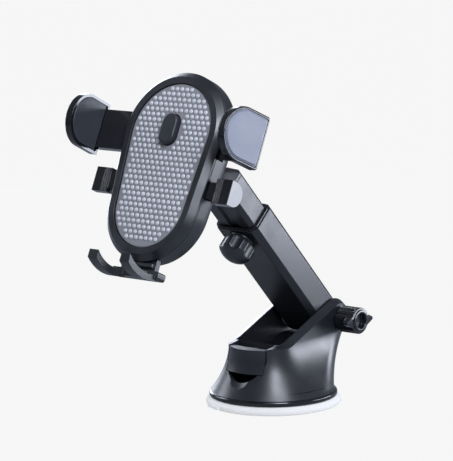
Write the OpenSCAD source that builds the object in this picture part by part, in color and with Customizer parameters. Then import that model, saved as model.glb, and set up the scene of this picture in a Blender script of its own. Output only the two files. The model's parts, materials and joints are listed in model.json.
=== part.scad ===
// Car phone mount: a suction base with a locking lever, a tilting telescopic arm,
// and a clamp head on a ball joint.
// The origin is the centre of the suction face, Z is up and the phone faces -Y.

/* [Suction base] */
// Radius of the clear gel foot
gel_r = 38; // [34:0.5:44]
// Height of the clear gel foot
gel_h = 4.4; // [3:0.1:6]
// How far the black ring stands inside the edge of the gel
ring_inset = 1.8; // [1:0.1:4]
// Height of the black ring
ring_h = 3.4; // [2.5:0.1:5]
// Wall thickness of the base housing
house_wall = 2.4; // [1.8:0.1:3.2]
// Thickness of each fork cheek beside the arm
cheek_t = 4.9; // [4:0.1:7]
// Bevel along the top edge of the cheeks
cheek_bevel = 3.4; // [1:0.1:3.8]
// Distance of the arm pivot behind the centre of the base
pivot_y = 35.4; // [30:0.2:42]
// Height of the arm pivot
pivot_z = 45; // [42:0.5:54]
// Radius of the round bosses of the fork
boss_r = 10.9; // [10.7:0.1:12]
// Radius of the pivot bolt
bolt_r = 4; // [3:0.1:5]
// Slope of the cheek tops
cheek_slope = 23.3; // [20:0.5:28]

/* [Lock lever] */
// Width of the lock lever
lever_w = 26; // [20:0.5:28]
// Height of the lever's lower lip
lip_z = 21.2; // [19:0.2:23]
// Distance of the lever pin in front of the centre of the base
lever_pin_y = 20; // [18:0.2:21]
// Height of the lever pin
lever_pin_z = 29; // [28:0.2:30]
// Radius of the lever pin
lever_pin_r = 1; // [0.8:0.05:1.1]
// Throw of the cam that lifts the cup stud
cam_throw = 1.2; // [0.8:0.05:1.3]
// Radius of the cup stud
stud_r = 3; // [2:0.1:5]

/* [Telescopic arm] */
// Width of the outer tube
tube_w = 30.2; // [26:0.2:36]
// Depth of the outer tube
tube_d = 20.2; // [19:0.2:21]
// Corner chamfer of the outer tube
tube_c = 3.1; // [1.5:0.1:4]
// Wall of the outer tube
tube_wall = 1.7; // [1.2:0.1:2.4]
// Gap between the inner tube and the cavity of the outer tube
slide_gap = 0.65; // [0.5:0.05:1]
// Wall of the inner tube
inner_wall = 2; // [1.4:0.1:3]
// Length of the outer tube from the pivot to its mouth
outer_len = 88; // [82:1:110]
// Distance from the pivot to the shoulder of the inner tube
shoulder_s = 118; // [112:1:145]
// Distance from the pivot to the centre of the ball
ball_s = 138.4; // [136:0.2:170]
// Elevation of the arm above the horizontal
arm_up = 46.9; // [30:0.5:75]
// Distance from the pivot to the tension knob
knob_s = 79; // [60:0.5:79]
// Radius of the tension knob
knob_r = 9.5; // [7:0.1:11]
// Height of the tension knob
knob_h = 12; // [8:0.5:16]

/* [Ball joint] */
// Radius of the ball
ball_r = 8.5; // [7.5:0.1:9]
// Thickness of each ball cup
cup_t = 1; // [0.8:0.1:1.4]
// Gap between the two cups and around them
cup_gap = 0.2; // [0.15:0.05:0.3]
// Distance from the front of the head back to the ball centre
ball_depth = 30; // [30:0.5:34]
// Height of the ball above the middle of the head
ball_up = 12.5; // [0:0.5:16]

/* [Clamp head] */
// Backward tilt of the head
head_tilt = 25; // [10:0.5:40]
// Radius of the pad's upper lobe
lobe_top = 27.2; // [26:0.2:32]
// Radius of the pad's lower lobe
lobe_low = 24; // [22:0.2:32]
// Distance between the two lobe centres
lobe_span = 41; // [36:0.5:56]
// Flat rim around the pad
rim_w = 3.6; // [2:0.1:5]
// Sloping band outside the rim
band_w = 3.4; // [2:0.1:5]
// Depth of the sloping band
band_d = 3.2; // [2:0.1:3.6]
// Thickness of the head
head_t = 17; // [16.6:0.2:17]
// Wall thickness of the two head shells
shell_wall = 2; // [1.6:0.1:2.4]
// Depth of the pad's surface below the rim
pad_drop = 0.8; // [0.4:0.1:1]
// Thickness of the rubber pad
pad_t = 1.2; // [0.8:0.1:1.2]

/* [Clamp arms] */
// Distance from the middle to each jaw's inner face when open
jaw_x = 55; // [54:0.5:62]
// Travel of each clamp arm
clamp_travel = 19; // [10:0.5:19]
// Height of the clamp arm plates
arm_h = 22; // [20:0.2:23]
// Height of the jaws
jaw_h = 29.4; // [26:0.2:34]
// Depth of the jaws from back edge to front
jaw_depth = 30.4; // [26:0.2:36]
// Thickness of the jaw plates
jaw_t = 4.4; // [3.6:0.1:6]
// Angle by which the jaws close towards the front
jaw_toe = 6; // [0:0.5:8]
// Radius of the pinion's pitch circle
pinion_r = 5.4; // [5.4:0.1:5.4]

/* [Buttons and foot] */
// Travel of the trigger tab
trigger_travel = 1.6; // [1:0.1:1.6]
// Travel of the side buttons
button_travel = 3.2; // [1:0.1:3.4]
// Height of the side buttons
button_h = 13.6; // [10:0.2:16]
// Width of the side buttons outside the head
button_w = 10.9; // [8:0.1:12]
// Width of the foot's bar
foot_w = 33; // [30:0.5:40]
// Width of the foot's stem
stem_w = 24; // [18:0.5:26]
// Reach of the toes in front of the head
toe_reach = 19.3; // [12:0.2:24]

/* [Hidden] */
$fn = 64;
eps = 0.01;

ring_r = gel_r - ring_inset;
house_z = gel_h + ring_h;
house_r = ring_r - 0.8;
fork_gap = tube_w + 1.2;
fork_x = fork_gap / 2;
cheek_x = fork_x + cheek_t;
neck_z = pivot_z - 7;
disc_h = 1.4;
plate_z = house_z + 0.6;
plate_h = 2.4;
inner_w = tube_w - 2 * (tube_wall + slide_gap);
inner_d = tube_d - 2 * (tube_wall + slide_gap) + 0.8;
inner_c = tube_c - 0.95;
cavity_w = tube_w - 2 * tube_wall;
cavity_d = inner_d + 1.1;
cavity_c = inner_c + 0.4;
cavity_s = 14;
tail_s = cavity_s + 28;
screw_r = 2.5;
groove_w = 6.6;
groove_t = 1.2;
groove_y = -inner_d / 2 + groove_t;
cup_in = ball_r + 0.1;
cup_out = cup_in + cup_t + cup_gap;
socket_in = cup_out + cup_t + cup_gap;
socket_out = socket_in + 1.5;
nut_in = socket_out + 0.15;
nut_out = nut_in + 2.4;
part_t = 4.4;
out_add = rim_w + band_w;
lobe_u1 = 17;
lobe_u2 = lobe_u1 - lobe_span;
gear_u = 16.5;
gear_t = 7.2;
gear_h = 2.4;
plate_t = 4.8;
head_top = lobe_u1 + lobe_top + out_add;
head_low = lobe_u2 - lobe_low - out_add;
button_u = -11.8;
arm_dir = [0, -cos(arm_up), sin(arm_up)];
head_up = [0, sin(head_tilt), cos(head_tilt)];
head_back = [0, cos(head_tilt), -sin(head_tilt)];
pivot = [0, pivot_y, pivot_z];
ball = pivot + ball_s * arm_dir;
head_origin = ball - ball_depth * head_back - ball_up * head_up;

// ---------- placement and shape helpers ----------
// Arm frame: Z runs along the arm from the pivot, -Y is its underside.
module at_arm() { translate(pivot) rotate([90 - arm_up, 0, 0]) children(); }
// Head frame: X across, Y up the face, Z out of the face towards the phone.
module at_head() { translate(head_origin) rotate([90 - head_tilt, 0, 0]) children(); }
module along_x(x0, x1) { translate([x0, 0, 0]) rotate([90, 0, 90]) linear_extrude(x1 - x0) children(); }
module rod_x(r, x0, x1) { translate([x0, 0, 0]) rotate([0, 90, 0]) cylinder(r = r, h = x1 - x0); }
module slab(t0, t1) { translate([0, 0, -t1]) linear_extrude(t1 - t0) children(); }
module box(x0, x1, y0, y1, z0, z1) { translate([x0, y0, z0]) cube([x1 - x0, y1 - y0, z1 - z0]); }
module chamfered(w, d, c) {
  x = w / 2;
  y = d / 2;
  polygon([[x, c - y], [x, y - c], [x - c, y], [c - x, y], [-x, y - c], [-x, c - y], [c - x, -y], [x - c, -y]]);
}
module rounded(w, h, r) {
  union() {
    square([w - 2 * r, h], center = true);
    square([w, h - 2 * r], center = true);
    for (x = [-1, 1], y = [-1, 1]) translate([x * (w / 2 - r), y * (h / 2 - r)]) circle(r);
  }
}
module stadium(w, h) { rounded(w, h, w / 2 - eps); }
// Outline of two lobes of radius ra at y = ya and rb at y = yb, ya above yb.
function lean(ra, ya, rb, yb) = -asin((ra - rb) / (ya - yb));
function lobe_points(ra, ya, rb, yb, n) =
  let (b = lean(ra, ya, rb, yb), h = n / 2 - 1)
  concat(
    [for (i = [0:h]) let (a = b + (180 - 2 * b) * i / h) [ra * cos(a), ya + ra * sin(a)]],
    [for (i = [0:h]) let (a = 180 - b + (180 + 2 * b) * i / h) [rb * cos(a), yb + rb * sin(a)]]
  );
module lobes(add) {
  b = lean(lobe_top, lobe_u1, lobe_low, lobe_u2);
  c = cos(b);
  s = sin(b);
  ra = lobe_top + add;
  rb = lobe_low + add;
  union() {
    translate([0, lobe_u1]) circle(ra);
    translate([0, lobe_u2]) circle(rb);
    polygon([
      [ra * c, lobe_u1 + ra * s], [-ra * c, lobe_u1 + ra * s],
      [-rb * c, lobe_u2 + rb * s], [rb * c, lobe_u2 + rb * s]
    ]);
  }
}
// Closed solid through rings of equally many points, each ring anticlockwise from above.
module loft(rings) {
  n = len(rings[0]);
  m = len(rings);
  polyhedron(
    points = [for (ring = rings) each ring],
    faces = concat(
      [[for (i = [0:n - 1]) i]],
      [[for (i = [n - 1:-1:0]) (m - 1) * n + i]],
      [for (j = [0:m - 2], i = [0:n - 1]) [j * n + i, (j + 1) * n + i, (j + 1) * n + (i + 1) % n]],
      [for (j = [0:m - 2], i = [0:n - 1]) [j * n + i, (j + 1) * n + (i + 1) % n, j * n + (i + 1) % n]]
    )
  );
}
function at_z(points, z) = [for (p = points) [p[0], p[1], z]];
module coil(r, wire, len, turns) {
  rings = 8;
  steps = turns * 12;
  at = function (i) [r * cos(i * 30), r * sin(i * 30), wire + (len - 2 * wire) * i / steps];
  ring = function (i) [for (k = [0:rings - 1]) let (a = -k * 360 / rings, q = r + wire * cos(a))
    [q * cos(i * 30), q * sin(i * 30), at(i)[2] + wire * sin(a)]];
  n = rings;
  m = steps + 1;
  polyhedron(
    points = [for (i = [0:steps]) each ring(i)],
    faces = concat(
      [[for (i = [0:n - 1]) i]],
      [[for (i = [n - 1:-1:0]) (m - 1) * n + i]],
      [for (j = [0:m - 2], i = [0:n - 1]) [j * n + i, (j + 1) * n + i, (j + 1) * n + (i + 1) % n]],
      [for (j = [0:m - 2], i = [0:n - 1]) [j * n + i, (j + 1) * n + (i + 1) % n, j * n + (i + 1) % n]]
    )
  );
}

// ---------- suction base ----------
// The housing is a round foot that draws in, leans back and becomes the two fork cheeks.
function rise(z) = min(1, max(0, (z - house_z) / (neck_z - house_z)));
function house_half(z) = cheek_x + (house_r - cheek_x) * pow(1 - rise(z), 1.8);
function house_front(z) = -7 * rise(z);
function house_back(z) =
  let (t = min(1, max(0, (z - house_z - 1.2) / (pivot_z - house_z - 1.2)))) pivot_y * (1 - pow(1 - t, 1.35));
function house_ring(z, add, n) =
  at_z(lobe_points(house_half(z) + add, house_back(z) + 0.02, house_half(z) + add, house_front(z), n), z);
module house_body(add, z0, z1, steps, n) {
  loft([for (i = [0:steps]) house_ring(z0 + (z1 - z0) * i / steps, add, n)]);
}
lever_top_z = lever_pin_z + 6;
slope_y = pivot_y - boss_r * sin(cheek_slope);
slope_z = pivot_z + boss_r * cos(cheek_slope);
function slope_at(y) = slope_z - (slope_y - y) * tan(cheek_slope);
module cheek_profile(drop) {
  union() {
    translate([pivot_y, pivot_z]) circle(boss_r - drop);
    polygon([
      [-gel_r, 0], [pivot_y + boss_r - drop, 0], [pivot_y + boss_r - drop, pivot_z],
      [slope_y, slope_z - drop], [-9, slope_at(-9) - drop], [-15, lever_top_z + 0.9 - drop],
      [-22, lever_top_z - drop], [-gel_r, lever_top_z - 0.2 - drop]
    ]);
  }
}
arm_room = tube_d / 2 + 0.6;
tray_t = 1.6;
deck_t = 1.4;
tray_front = lever_pin_y - 6.2;
// Floor line of the tray between the cheeks, front to back
tray_line = [
  [-tray_front, lever_top_z - 2], [4, lever_top_z - 5], [pivot_y - 17, lever_top_z - 4.2],
  [pivot_y - 8, pivot_z - arm_room - 0.2], [pivot_y + 8, pivot_z - arm_room - 0.2],
  [pivot_y + 30, pivot_z - arm_room + 4]
];
function tray_drop(t, last) = [for (i = [0:last]) tray_line[i] - [0, t]];
module tray_room() { polygon(concat(tray_drop(tray_t, 5), [[pivot_y + 30, 90], [-tray_front, 90]])); }
module below_tray() {
  drop = tray_t + deck_t;
  polygon(concat([[-gel_r, 0], [-gel_r, lever_top_z - 2 - drop]], tray_drop(drop, 4), [[pivot_y + 8, 0]]));
}
module gel_foot() {
  edge = 0.7;
  tab_w = 12;
  color("whitesmoke") union() {
    rotate_extrude() polygon([
      [0, 0], [gel_r - edge, 0], [gel_r, edge], [gel_r, gel_h - 1.6], [gel_r - 2.4, gel_h], [0, gel_h]
    ]);
    rotate([0, 0, -112]) box(gel_r - 2, gel_r + 1.4, -tab_w / 2, tab_w / 2, edge, gel_h - 2);
  }
}
module cup_disc() {
  color("black") translate([0, 0, gel_h]) cylinder(r = ring_r - 3.2, h = disc_h);
}
module base_ring() {
  color("black") rotate_extrude() polygon([
    [ring_r - 3, gel_h + 0.2], [ring_r - 0.5, gel_h + 0.2], [ring_r, gel_h + 0.7],
    [ring_r, house_z - 0.7], [ring_r - 0.7, house_z], [ring_r - 3, house_z]
  ]);
}
screw_ring = 25;
module screw_spots() {
  for (a = [40, 140, 220, 320]) rotate([0, 0, a]) translate([screw_ring, 0, 0]) children();
}
scoop_z = 28.2;
scoop_r = 19.6;
module base_housing() {
  color("gray") difference() {
    intersection() {
      house_body(0, house_z, pivot_z + boss_r + 1, 22, 72);
      union() {
        along_x(-cheek_x + cheek_bevel * 0.5, cheek_x - cheek_bevel * 0.5) cheek_profile(0);
        along_x(-cheek_x - 20, cheek_x + 20) cheek_profile(cheek_bevel * 0.6);
      }
    }
    along_x(-fork_x, fork_x) tray_room();
    intersection() {
      house_body(-house_wall, house_z - eps, lever_top_z, 12, 48);
      along_x(-fork_x, fork_x) below_tray();
    }
    translate([0, 0, house_z - eps]) cylinder(r = house_r - house_wall, h = plate_h + 1);
    // window for the lever and the deep part of the finger scoop
    box(-lever_w / 2 - 0.3, lever_w / 2 + 0.3, -gel_r, -tray_front - eps, lip_z - 0.3, 60);
    translate([0, -gel_r, lip_z + 8.8]) rotate([-90, 0, 0]) cylinder(r = 14, h = gel_r - 22);
    translate([0, -44.6, scoop_z]) sphere(r = scoop_r, $fn = 72);
    // pivot and lever pin bores
    translate([0, pivot_y, pivot_z]) rod_x(bolt_r + 0.05, -cheek_x - 1, cheek_x + 1);
    translate([0, pivot_y, pivot_z]) rod_x(6.6, -cheek_x - 1, -cheek_x + 1.8);
    translate([0, -lever_pin_y, lever_pin_z]) rod_x(lever_pin_r, -lever_w / 2 - 2.4, lever_w / 2 + 2.4);
  }
}
module tray_liner() {
  fit = 0.02;
  low = [for (i = [5:-1:0]) tray_line[i] - [0, tray_t - fit]];
  color("black") intersection() {
    along_x(fit - fork_x, fork_x - fit) polygon(concat(tray_line, low));
    house_body(-0.3, house_z, pivot_z, 18, 72);
    box(-fork_x, fork_x, -gel_r, pivot_y + boss_r - 0.4, 0, 90);
  }
}
module base_plate() {
  tower = 6;
  color("dimgray") difference() {
    union() {
      translate([0, 0, plate_z]) cylinder(r = house_r - house_wall - 0.3, h = plate_h);
      translate([0, 0, plate_z]) cylinder(r = stud_r + 3, h = plate_h + tower);
      for (s = [-1, 1]) box(s * 9.5 - 1.2, s * 9.5 + 1.2, -14, 8, plate_z, plate_z + plate_h + 5);
    }
    translate([0, 0, plate_z - 1]) cylinder(r = stud_r + 0.08, h = plate_h + tower + 2);
    screw_spots() translate([0, 0, plate_z - 1]) cylinder(r = 1.4, h = plate_h + 2);
  }
}
module lever_pin() {
  color("silver") translate([0, -lever_pin_y, lever_pin_z])
    rod_x(lever_pin_r, -lever_w / 2 - 2.2, lever_w / 2 + 2.2);
}
module base_screws() {
  color("silver") screw_spots() union() {
    translate([0, 0, plate_z - 0.5]) cylinder(r = 2.3, h = 0.5);
    translate([0, 0, plate_z - eps]) cylinder(r = 1.2, h = plate_h);
  }
}
module pivot_nut() {
  color("silver") translate([0, pivot_y, pivot_z]) difference() {
    union() {
      translate([-cheek_x - 2.2, 0, 0]) rotate([0, 90, 0]) cylinder(r = 6.3, h = 4, $fn = 6);
      rod_x(bolt_r + 1, -cheek_x - 3, -cheek_x - 1);
    }
    rod_x(bolt_r + 0.05, -cheek_x - 4, -cheek_x + 3);
  }
}
module pivot_washers() {
  color("white") translate([0, pivot_y, pivot_z]) for (s = [-1, 1]) difference() {
    rod_x(8.6, min(s * (tube_w / 2 + 0.08), s * (fork_x - 0.02)), max(s * (tube_w / 2 + 0.08), s * (fork_x - 0.02)));
    rod_x(bolt_r + 0.1, -cheek_x, cheek_x);
  }
}

// ---------- lock lever and cup stud ----------
cam_r = lever_pin_r + cam_throw + 0.2;
cam_x = 3.4;
barrel_r = 5.6;
cam_at = [cam_throw * cos(30), cam_throw * sin(30)];
module lock_lever() {
  color("gray") translate([0, -lever_pin_y, lever_pin_z]) difference() {
    union() {
      difference() {
        union() {
          rod_x(barrel_r, -lever_w / 2, lever_w / 2);
          translate([0, lever_pin_y, -lever_pin_z]) intersection() {
            house_body(-0.1, house_z + 6, lever_top_z, 14, 72);
            box(-lever_w / 2, lever_w / 2, -gel_r, -lever_pin_y - 3.4, lip_z, lever_top_z);
          }
        }
        rod_x(barrel_r + 0.1, -cam_x, cam_x);
        for (s = [-1, 1]) box(s * 8 - 3.2, s * 8 + 3.2, -5.4, 4.6, -30, -4.2);
      }
      translate([0, cam_at[0], cam_at[1]]) rod_x(cam_r, -cam_x - 0.2, cam_x + 0.2);
    }
    rod_x(lever_pin_r + 0.05, -lever_w / 2 - 1, lever_w / 2 + 1);
  }
}
stud_disc_z = plate_z - 1.3;
yoke_x = 2.6;
module cup_stud() {
  play = 0.06;
  cam_y = cam_at[0] - lever_pin_y;
  cam_z = cam_at[1] + lever_pin_z;
  arm_z = cam_z - cam_r - play - 3.6;
  color("silver") union() {
    translate([0, 0, stud_disc_z]) cylinder(r = 9, h = 1);
    translate([0, 0, stud_disc_z]) cylinder(r = stud_r, h = arm_z + 3 - stud_disc_z);
    box(-yoke_x, yoke_x, cam_y - cam_r - 1.6, stud_r * 0.5, arm_z, arm_z + 2.6);
    difference() {
      box(-yoke_x, yoke_x, cam_y - cam_r - 1.6, cam_y + cam_r + 1.6, arm_z + 1, cam_z + cam_r + play + 1.1);
      box(-yoke_x - 1, yoke_x + 1, cam_y - cam_r - 0.4, cam_y + cam_r + 0.4, cam_z - cam_r - play, cam_z + cam_r + play);
    }
  }
}
module stud_spring() {
  z0 = plate_z + plate_h + 6.1;
  color("silver") translate([0, 0, z0]) coil(stud_r + 0.9, 0.35, lever_pin_z - cam_r - 4.1 - z0, 2);
}

// ---------- arm pivot hardware ----------
module pivot_knob() {
  x0 = cheek_x + 0.4;
  x1 = x0 + 15;
  body_r = 7.5;
  color("dimgray") translate([0, pivot_y, pivot_z]) difference() {
    union() {
      rod_x(body_r - 0.9, x0, x1);
      rod_x(body_r, x0 + 1.5, x1 - 1);
      for (s = [-1, 1]) hull() {
        translate([x0 + 7, 0, -2.4]) cube([7.4, eps, 4.8]);
        translate([x1 - 3.4, s * 10.4, 0]) rotate([0, 90, 0]) cylinder(r = 1.3, h = 3, $fn = 24);
        translate([x1 - 4.4, s * 5, -4.2]) cube([4, eps, 8.4]);
      }
    }
    rod_x(4.4, x1 - 3, x1 + 1);
    rod_x(bolt_r, x0 - 1, x1 - 5);
    for (a = [30, 60, 120, 150, 210, 240, 300, 330])
      rotate([a, 0, 0]) translate([0, body_r + 0.5, 0]) rod_x(1.1, x0 - 1, x1 - 2.5);
  }
}
module pivot_bolt() {
  color("silver") translate([0, pivot_y, pivot_z]) rod_x(bolt_r, -cheek_x - 2.6, cheek_x + 10.4);
}

// ---------- outer tube ----------
bush_r = 6.4;
module outer_tube() {
  h = tube_w / 2;
  r = tube_d / 2;
  color("gray") at_arm() difference() {
    union() {
      linear_extrude(outer_len) chamfered(tube_w, tube_d, tube_c);
      rotate([0, 90, 0]) rotate_extrude() polygon([
        [0, -h], [r - tube_c, -h], [r, tube_c - h], [r, h - tube_c], [r - tube_c, h], [0, h]
      ]);
      translate([0, -r + 0.5, knob_s]) rotate([90, 0, 0]) cylinder(r = 7.2, h = 1.7);
    }
    translate([0, 0, cavity_s]) linear_extrude(outer_len) chamfered(cavity_w, cavity_d, cavity_c);
    rod_x(bush_r, -h - 1, h + 1);
    translate([0, 0, knob_s]) rotate([90, 0, 0]) cylinder(r = 4.2, h = tube_d);
  }
}
module pivot_bush() {
  color("white") at_arm() difference() {
    rod_x(bush_r, -tube_w / 2, tube_w / 2);
    rod_x(bolt_r + 0.06, -tube_w / 2 - 1, tube_w / 2 + 1);
  }
}
liner_len = 4;
module mouth_liner() {
  lip = 1;
  color("black") at_arm() difference() {
    union() {
      translate([0, 0, outer_len - liner_len]) linear_extrude(liner_len) chamfered(cavity_w, cavity_d, cavity_c);
      translate([0, 0, outer_len]) linear_extrude(lip) chamfered(cavity_w + 1.8, cavity_d + 1.8, cavity_c + 0.5);
    }
    translate([0, 0, outer_len - 8]) linear_extrude(10) chamfered(inner_w + 0.16, inner_d + 0.16, inner_c);
  }
}
module tension_insert() {
  color("goldenrod") at_arm() translate([0, -tube_d / 2 - 1.2, knob_s]) rotate([-90, 0, 0]) difference() {
    cylinder(r = 4.2, h = 2.3);
    translate([0, 0, -1]) cylinder(r = screw_r + 0.03, h = 5);
  }
}
module pressure_shoe() {
  shoe_x = groove_w / 2 - 0.2;
  shoe_end = outer_len - liner_len - 0.4;
  color("white") at_arm() box(-shoe_x, shoe_x, -cavity_d / 2 + 0.1, groove_y - 0.08, knob_s - 8, shoe_end);
}
module tension_knob() {
  top = -tube_d / 2 - 1.4;
  color("dimgray") at_arm() translate([0, top, knob_s]) rotate([90, 0, 0]) difference() {
    intersection() {
      cylinder(r = knob_r, h = knob_h);
      translate([0, 0, knob_h - 12.6]) sphere(r = 12.6);
    }
    for (a = [0:60:300]) rotate([0, 0, a]) translate([knob_r + 4.2, 0, -1]) cylinder(r = 5.6, h = knob_h + 2);
    translate([0, 0, -1]) cylinder(r = screw_r, h = knob_h - 3);
  }
}
module tension_screw() {
  head = -tube_d / 2 - 1.4 - knob_h + 4.2;
  color("silver") at_arm() translate([0, -cavity_d / 2 - 0.02, knob_s]) rotate([90, 0, 0])
    cylinder(r = screw_r, h = -cavity_d / 2 - head);
}

// ---------- inner tube and ball ----------
module inner_tube() {
  color("darkgray") at_arm() difference() {
    translate([0, 0, tail_s]) linear_extrude(shoulder_s - tail_s) chamfered(inner_w, inner_d, inner_c);
    translate([0, 0, tail_s - 1]) linear_extrude(shoulder_s - tail_s + 2)
      chamfered(inner_w - 2 * inner_wall, inner_d - 2 * inner_wall - 1.6, 1.4);
    box(-groove_w / 2, groove_w / 2, -inner_d, groove_y, tail_s + 6, shoulder_s - 5);
  }
}
module slide_collar() {
  color("white") at_arm() difference() {
    translate([0, 0, tail_s - 2.2]) linear_extrude(2.2) chamfered(cavity_w - 0.3, cavity_d - 0.3, cavity_c);
    translate([0, 0, tail_s - 3]) linear_extrude(4) chamfered(inner_w - 4, inner_d - 4, 1.4);
  }
}
cap_len = 7;
// Slim enough to clear the nut's lip at full pitch and yaw together
neck_r = 3.4;
module arm_end_cap() {
  color("dimgray") at_arm() difference() {
    union() {
      hull() {
        translate([0, 0, shoulder_s]) linear_extrude(1.6) chamfered(inner_w, inner_d, inner_c);
        translate([0, 0, shoulder_s + cap_len - 1]) cylinder(r = 5.6, h = 1, $fn = 32);
      }
      translate([0, 0, shoulder_s - 4]) linear_extrude(4.2)
        chamfered(inner_w - 2 * inner_wall - 0.1, inner_d - 2 * inner_wall - 1.7, 1.4);
    }
    translate([0, 0, shoulder_s - 5]) cylinder(r = neck_r, h = 20);
  }
}
module ball_stud() {
  color("silver") at_arm() union() {
    translate([0, 0, shoulder_s - 3]) cylinder(r = neck_r, h = ball_s - shoulder_s);
    translate([0, 0, ball_s]) sphere(r = ball_r);
  }
}
// A spherical cup round the ball, open towards the arm
module ball_cup(r, t, reach) {
  translate([0, ball_up, -ball_depth]) intersection() {
    difference() {
      sphere(r = r + t);
      sphere(r = r);
    }
    box(-20, 20, -20, 20, reach, 20);
  }
}
module inner_ball_cup() { color("white") at_head() ball_cup(cup_in, cup_t, 2.6); }
module outer_ball_cup() { color("black") at_head() ball_cup(cup_out, cup_t, 2.6); }

// ---------- head shells ----------
function shell_points(add, n) =
  lobe_points(lobe_top + add, lobe_u1, lobe_low + add, lobe_u2, n);
// Back of the head: t from the parting line to the back, rounded over a quarter arc
round_t = 6.6;
round_in = 5;
function back_ring(t, cut, n) =
  let (k = max(0, (t - (head_t - round_t)) / round_t))
  at_z(shell_points(out_add - cut - round_in * (1 - sqrt(1 - k * k * 0.96)), n), -t);
module back_shape(cut, t0, t1, n) {
  steps = 9;
  loft([for (i = [steps:-1:0]) back_ring(t0 + (t1 - t0) * sin(90 * i / steps), cut, n)]);
}
module arm_slots() {
  for (s = [-1, 1]) translate([s * 32, gear_u, 0]) slab(part_t - 1, gear_t + gear_h + 0.3)
    square([26, arm_h + 0.6], center = true);
}
module button_slots() {
  for (s = [-1, 1]) translate([s * 32, button_u, 0]) slab(part_t - 1, 10.9) square([12, 9.8], center = true);
}
screw_at = [[-16, 34], [16, 34], [-17.5, -27], [17.5, -27]];
module rear_shell() {
  inside = head_t - shell_wall;
  color("gray") at_head() difference() {
    union() {
      difference() {
        back_shape(0, part_t, head_t, 72);
        back_shape(shell_wall, part_t - eps, inside, 60);
      }
      translate([0, ball_up, -ball_depth + 1]) cylinder(r = socket_out, h = ball_depth - head_t + 2);
      for (p = screw_at) translate([p[0], p[1], -head_t + 1]) cylinder(r = 3.2, h = head_t - part_t - 1);
      translate([0, gear_u, -head_t + 1]) cylinder(r = 4, h = 1.7);
      for (s = [-1, 1]) box(s * 16 - 1, s * 16 + 1, button_u - 4, button_u + 4, -head_t + 1, -6);
      for (s = [-1, 1]) box(s * (stem_w / 2 + 1.5) - 1, s * (stem_w / 2 + 1.5) + 1, head_low + 5, head_low + 22, -head_t + 1, -part_t - 0.3);
    }
    translate([0, ball_up, -ball_depth]) sphere(r = socket_in);
    translate([0, ball_up, -ball_depth - 1]) cylinder(r = socket_in, h = 1.01);
    arm_slots();
    button_slots();
    translate([0, head_low, 0]) slab(part_t - 1, 8.8) square([stem_w + 0.6, 16], center = true);
    for (p = screw_at) translate([p[0], p[1], -head_t]) cylinder(r = 1.15, h = head_t - part_t + 1);
    for (p = screw_at) translate([p[0], p[1], -head_t - 1]) cylinder(r = 2.5, h = 3.2);
    translate([0, gear_u, -head_t + 0.6]) cylinder(r = 2, h = 6);
  }
}
module trigger_hole(play) { translate([0, 18]) stadium(10 + 2 * play, 17 + 2 * play); }
module front_shell() {
  floor_t = pad_drop + pad_t;
  color("gray") at_head() difference() {
    loft([
      at_z(shell_points(out_add, 72), -part_t), at_z(shell_points(out_add, 72), -band_d),
      at_z(shell_points(out_add - 0.7, 72), -band_d * 0.55), at_z(shell_points(rim_w + 0.4, 72), -0.25),
      at_z(shell_points(rim_w, 72), 0)
    ]);
    slab(-1, floor_t) lobes(0);
    slab(floor_t + 1.6, part_t + 1) lobes(out_add - shell_wall - 1.4);
    slab(-1, part_t + 1) trigger_hole(0.25);
    for (p = screw_at) translate([p[0], p[1], -part_t - 1]) cylinder(r = 1, h = 2.4);
  }
}
module grip_pad() {
  color("dimgray") at_head() slab(pad_drop, pad_drop + pad_t) difference() {
    lobes(-0.15);
    trigger_hole(0.5);
  }
}
module head_screws() {
  color("silver") at_head() for (p = screw_at) translate([p[0], p[1], -head_t + 0.9]) union() {
    cylinder(r = 2.3, h = 1.25);
    cylinder(r = 1, h = head_t - part_t + 0.4);
  }
}
cover_t = 13.1;
module gear_cover() {
  color("silver") at_head() translate([0, gear_u, 0]) slab(cover_t, cover_t + 0.9) difference() {
    rounded(30, 24, 3);
    circle(2.1);
    translate([-12.5, -8.5]) circle(1.05);
  }
}
module pinion_axle() {
  color("silver") at_head() translate([0, gear_u, 0]) union() {
    slab(gear_t - 0.4, head_t - 0.6) circle(2);
    slab(gear_t - 0.4, gear_t - 0.05) circle(2.8);
  }
}

// ---------- ball nut ----------
module ball_nut() {
  lip_r = 7.6;
  seat_r = cup_in + 0.02;
  z_lip = -sqrt(seat_r * seat_r - lip_r * lip_r);
  front = ball_depth - head_t - 0.6;
  color("gray") at_head() translate([0, ball_up, -ball_depth]) union() {
    rotate_extrude() polygon([
      [lip_r, z_lip], [nut_in, -1.2], [nut_in, front], [nut_out, front], [nut_out, -4.6],
      [nut_out - 1, -6], [lip_r + 2, -6]
    ]);
    for (a = [0:30:330]) rotate([0, 0, a]) translate([nut_out - 0.6, 0, -4.4])
      cylinder(r = 1.5, h = front + 4);
  }
}

// ---------- clamp drive ----------
mod = 0.9;
teeth = 12;
tooth_play = 0.12;
function inv_deg(r, rb) = sqrt(r * r / (rb * rb) - 1) * 180 / PI - acos(rb / r);
module pinion_outline() {
  rb = pinion_r * cos(20);
  tip = pinion_r + 0.8 * mod;
  root = pinion_r - 0.95 * mod;
  half = 90 / teeth + inv_deg(pinion_r, rb) - tooth_play / 2 / pinion_r * 180 / PI;
  flank = [for (i = [0:4]) let (r = max(rb, root) + (tip - max(rb, root)) * i / 4) [r, half - inv_deg(r, rb)]];
  polygon([for (k = [0:teeth - 1]) let (a = k * 360 / teeth) each concat(
    [[root * cos(a - half - 1), root * sin(a - half - 1)]],
    [for (p = flank) [p[0] * cos(a - p[1]), p[0] * sin(a - p[1])]],
    [for (i = [4:-1:0]) let (p = flank[i]) [p[0] * cos(a + p[1]), p[0] * sin(a + p[1])]],
    [[root * cos(a + half + 1), root * sin(a + half + 1)]]
  )]);
}
rack_pitch = PI * mod;
rack_add = 0.6 * mod;
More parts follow.
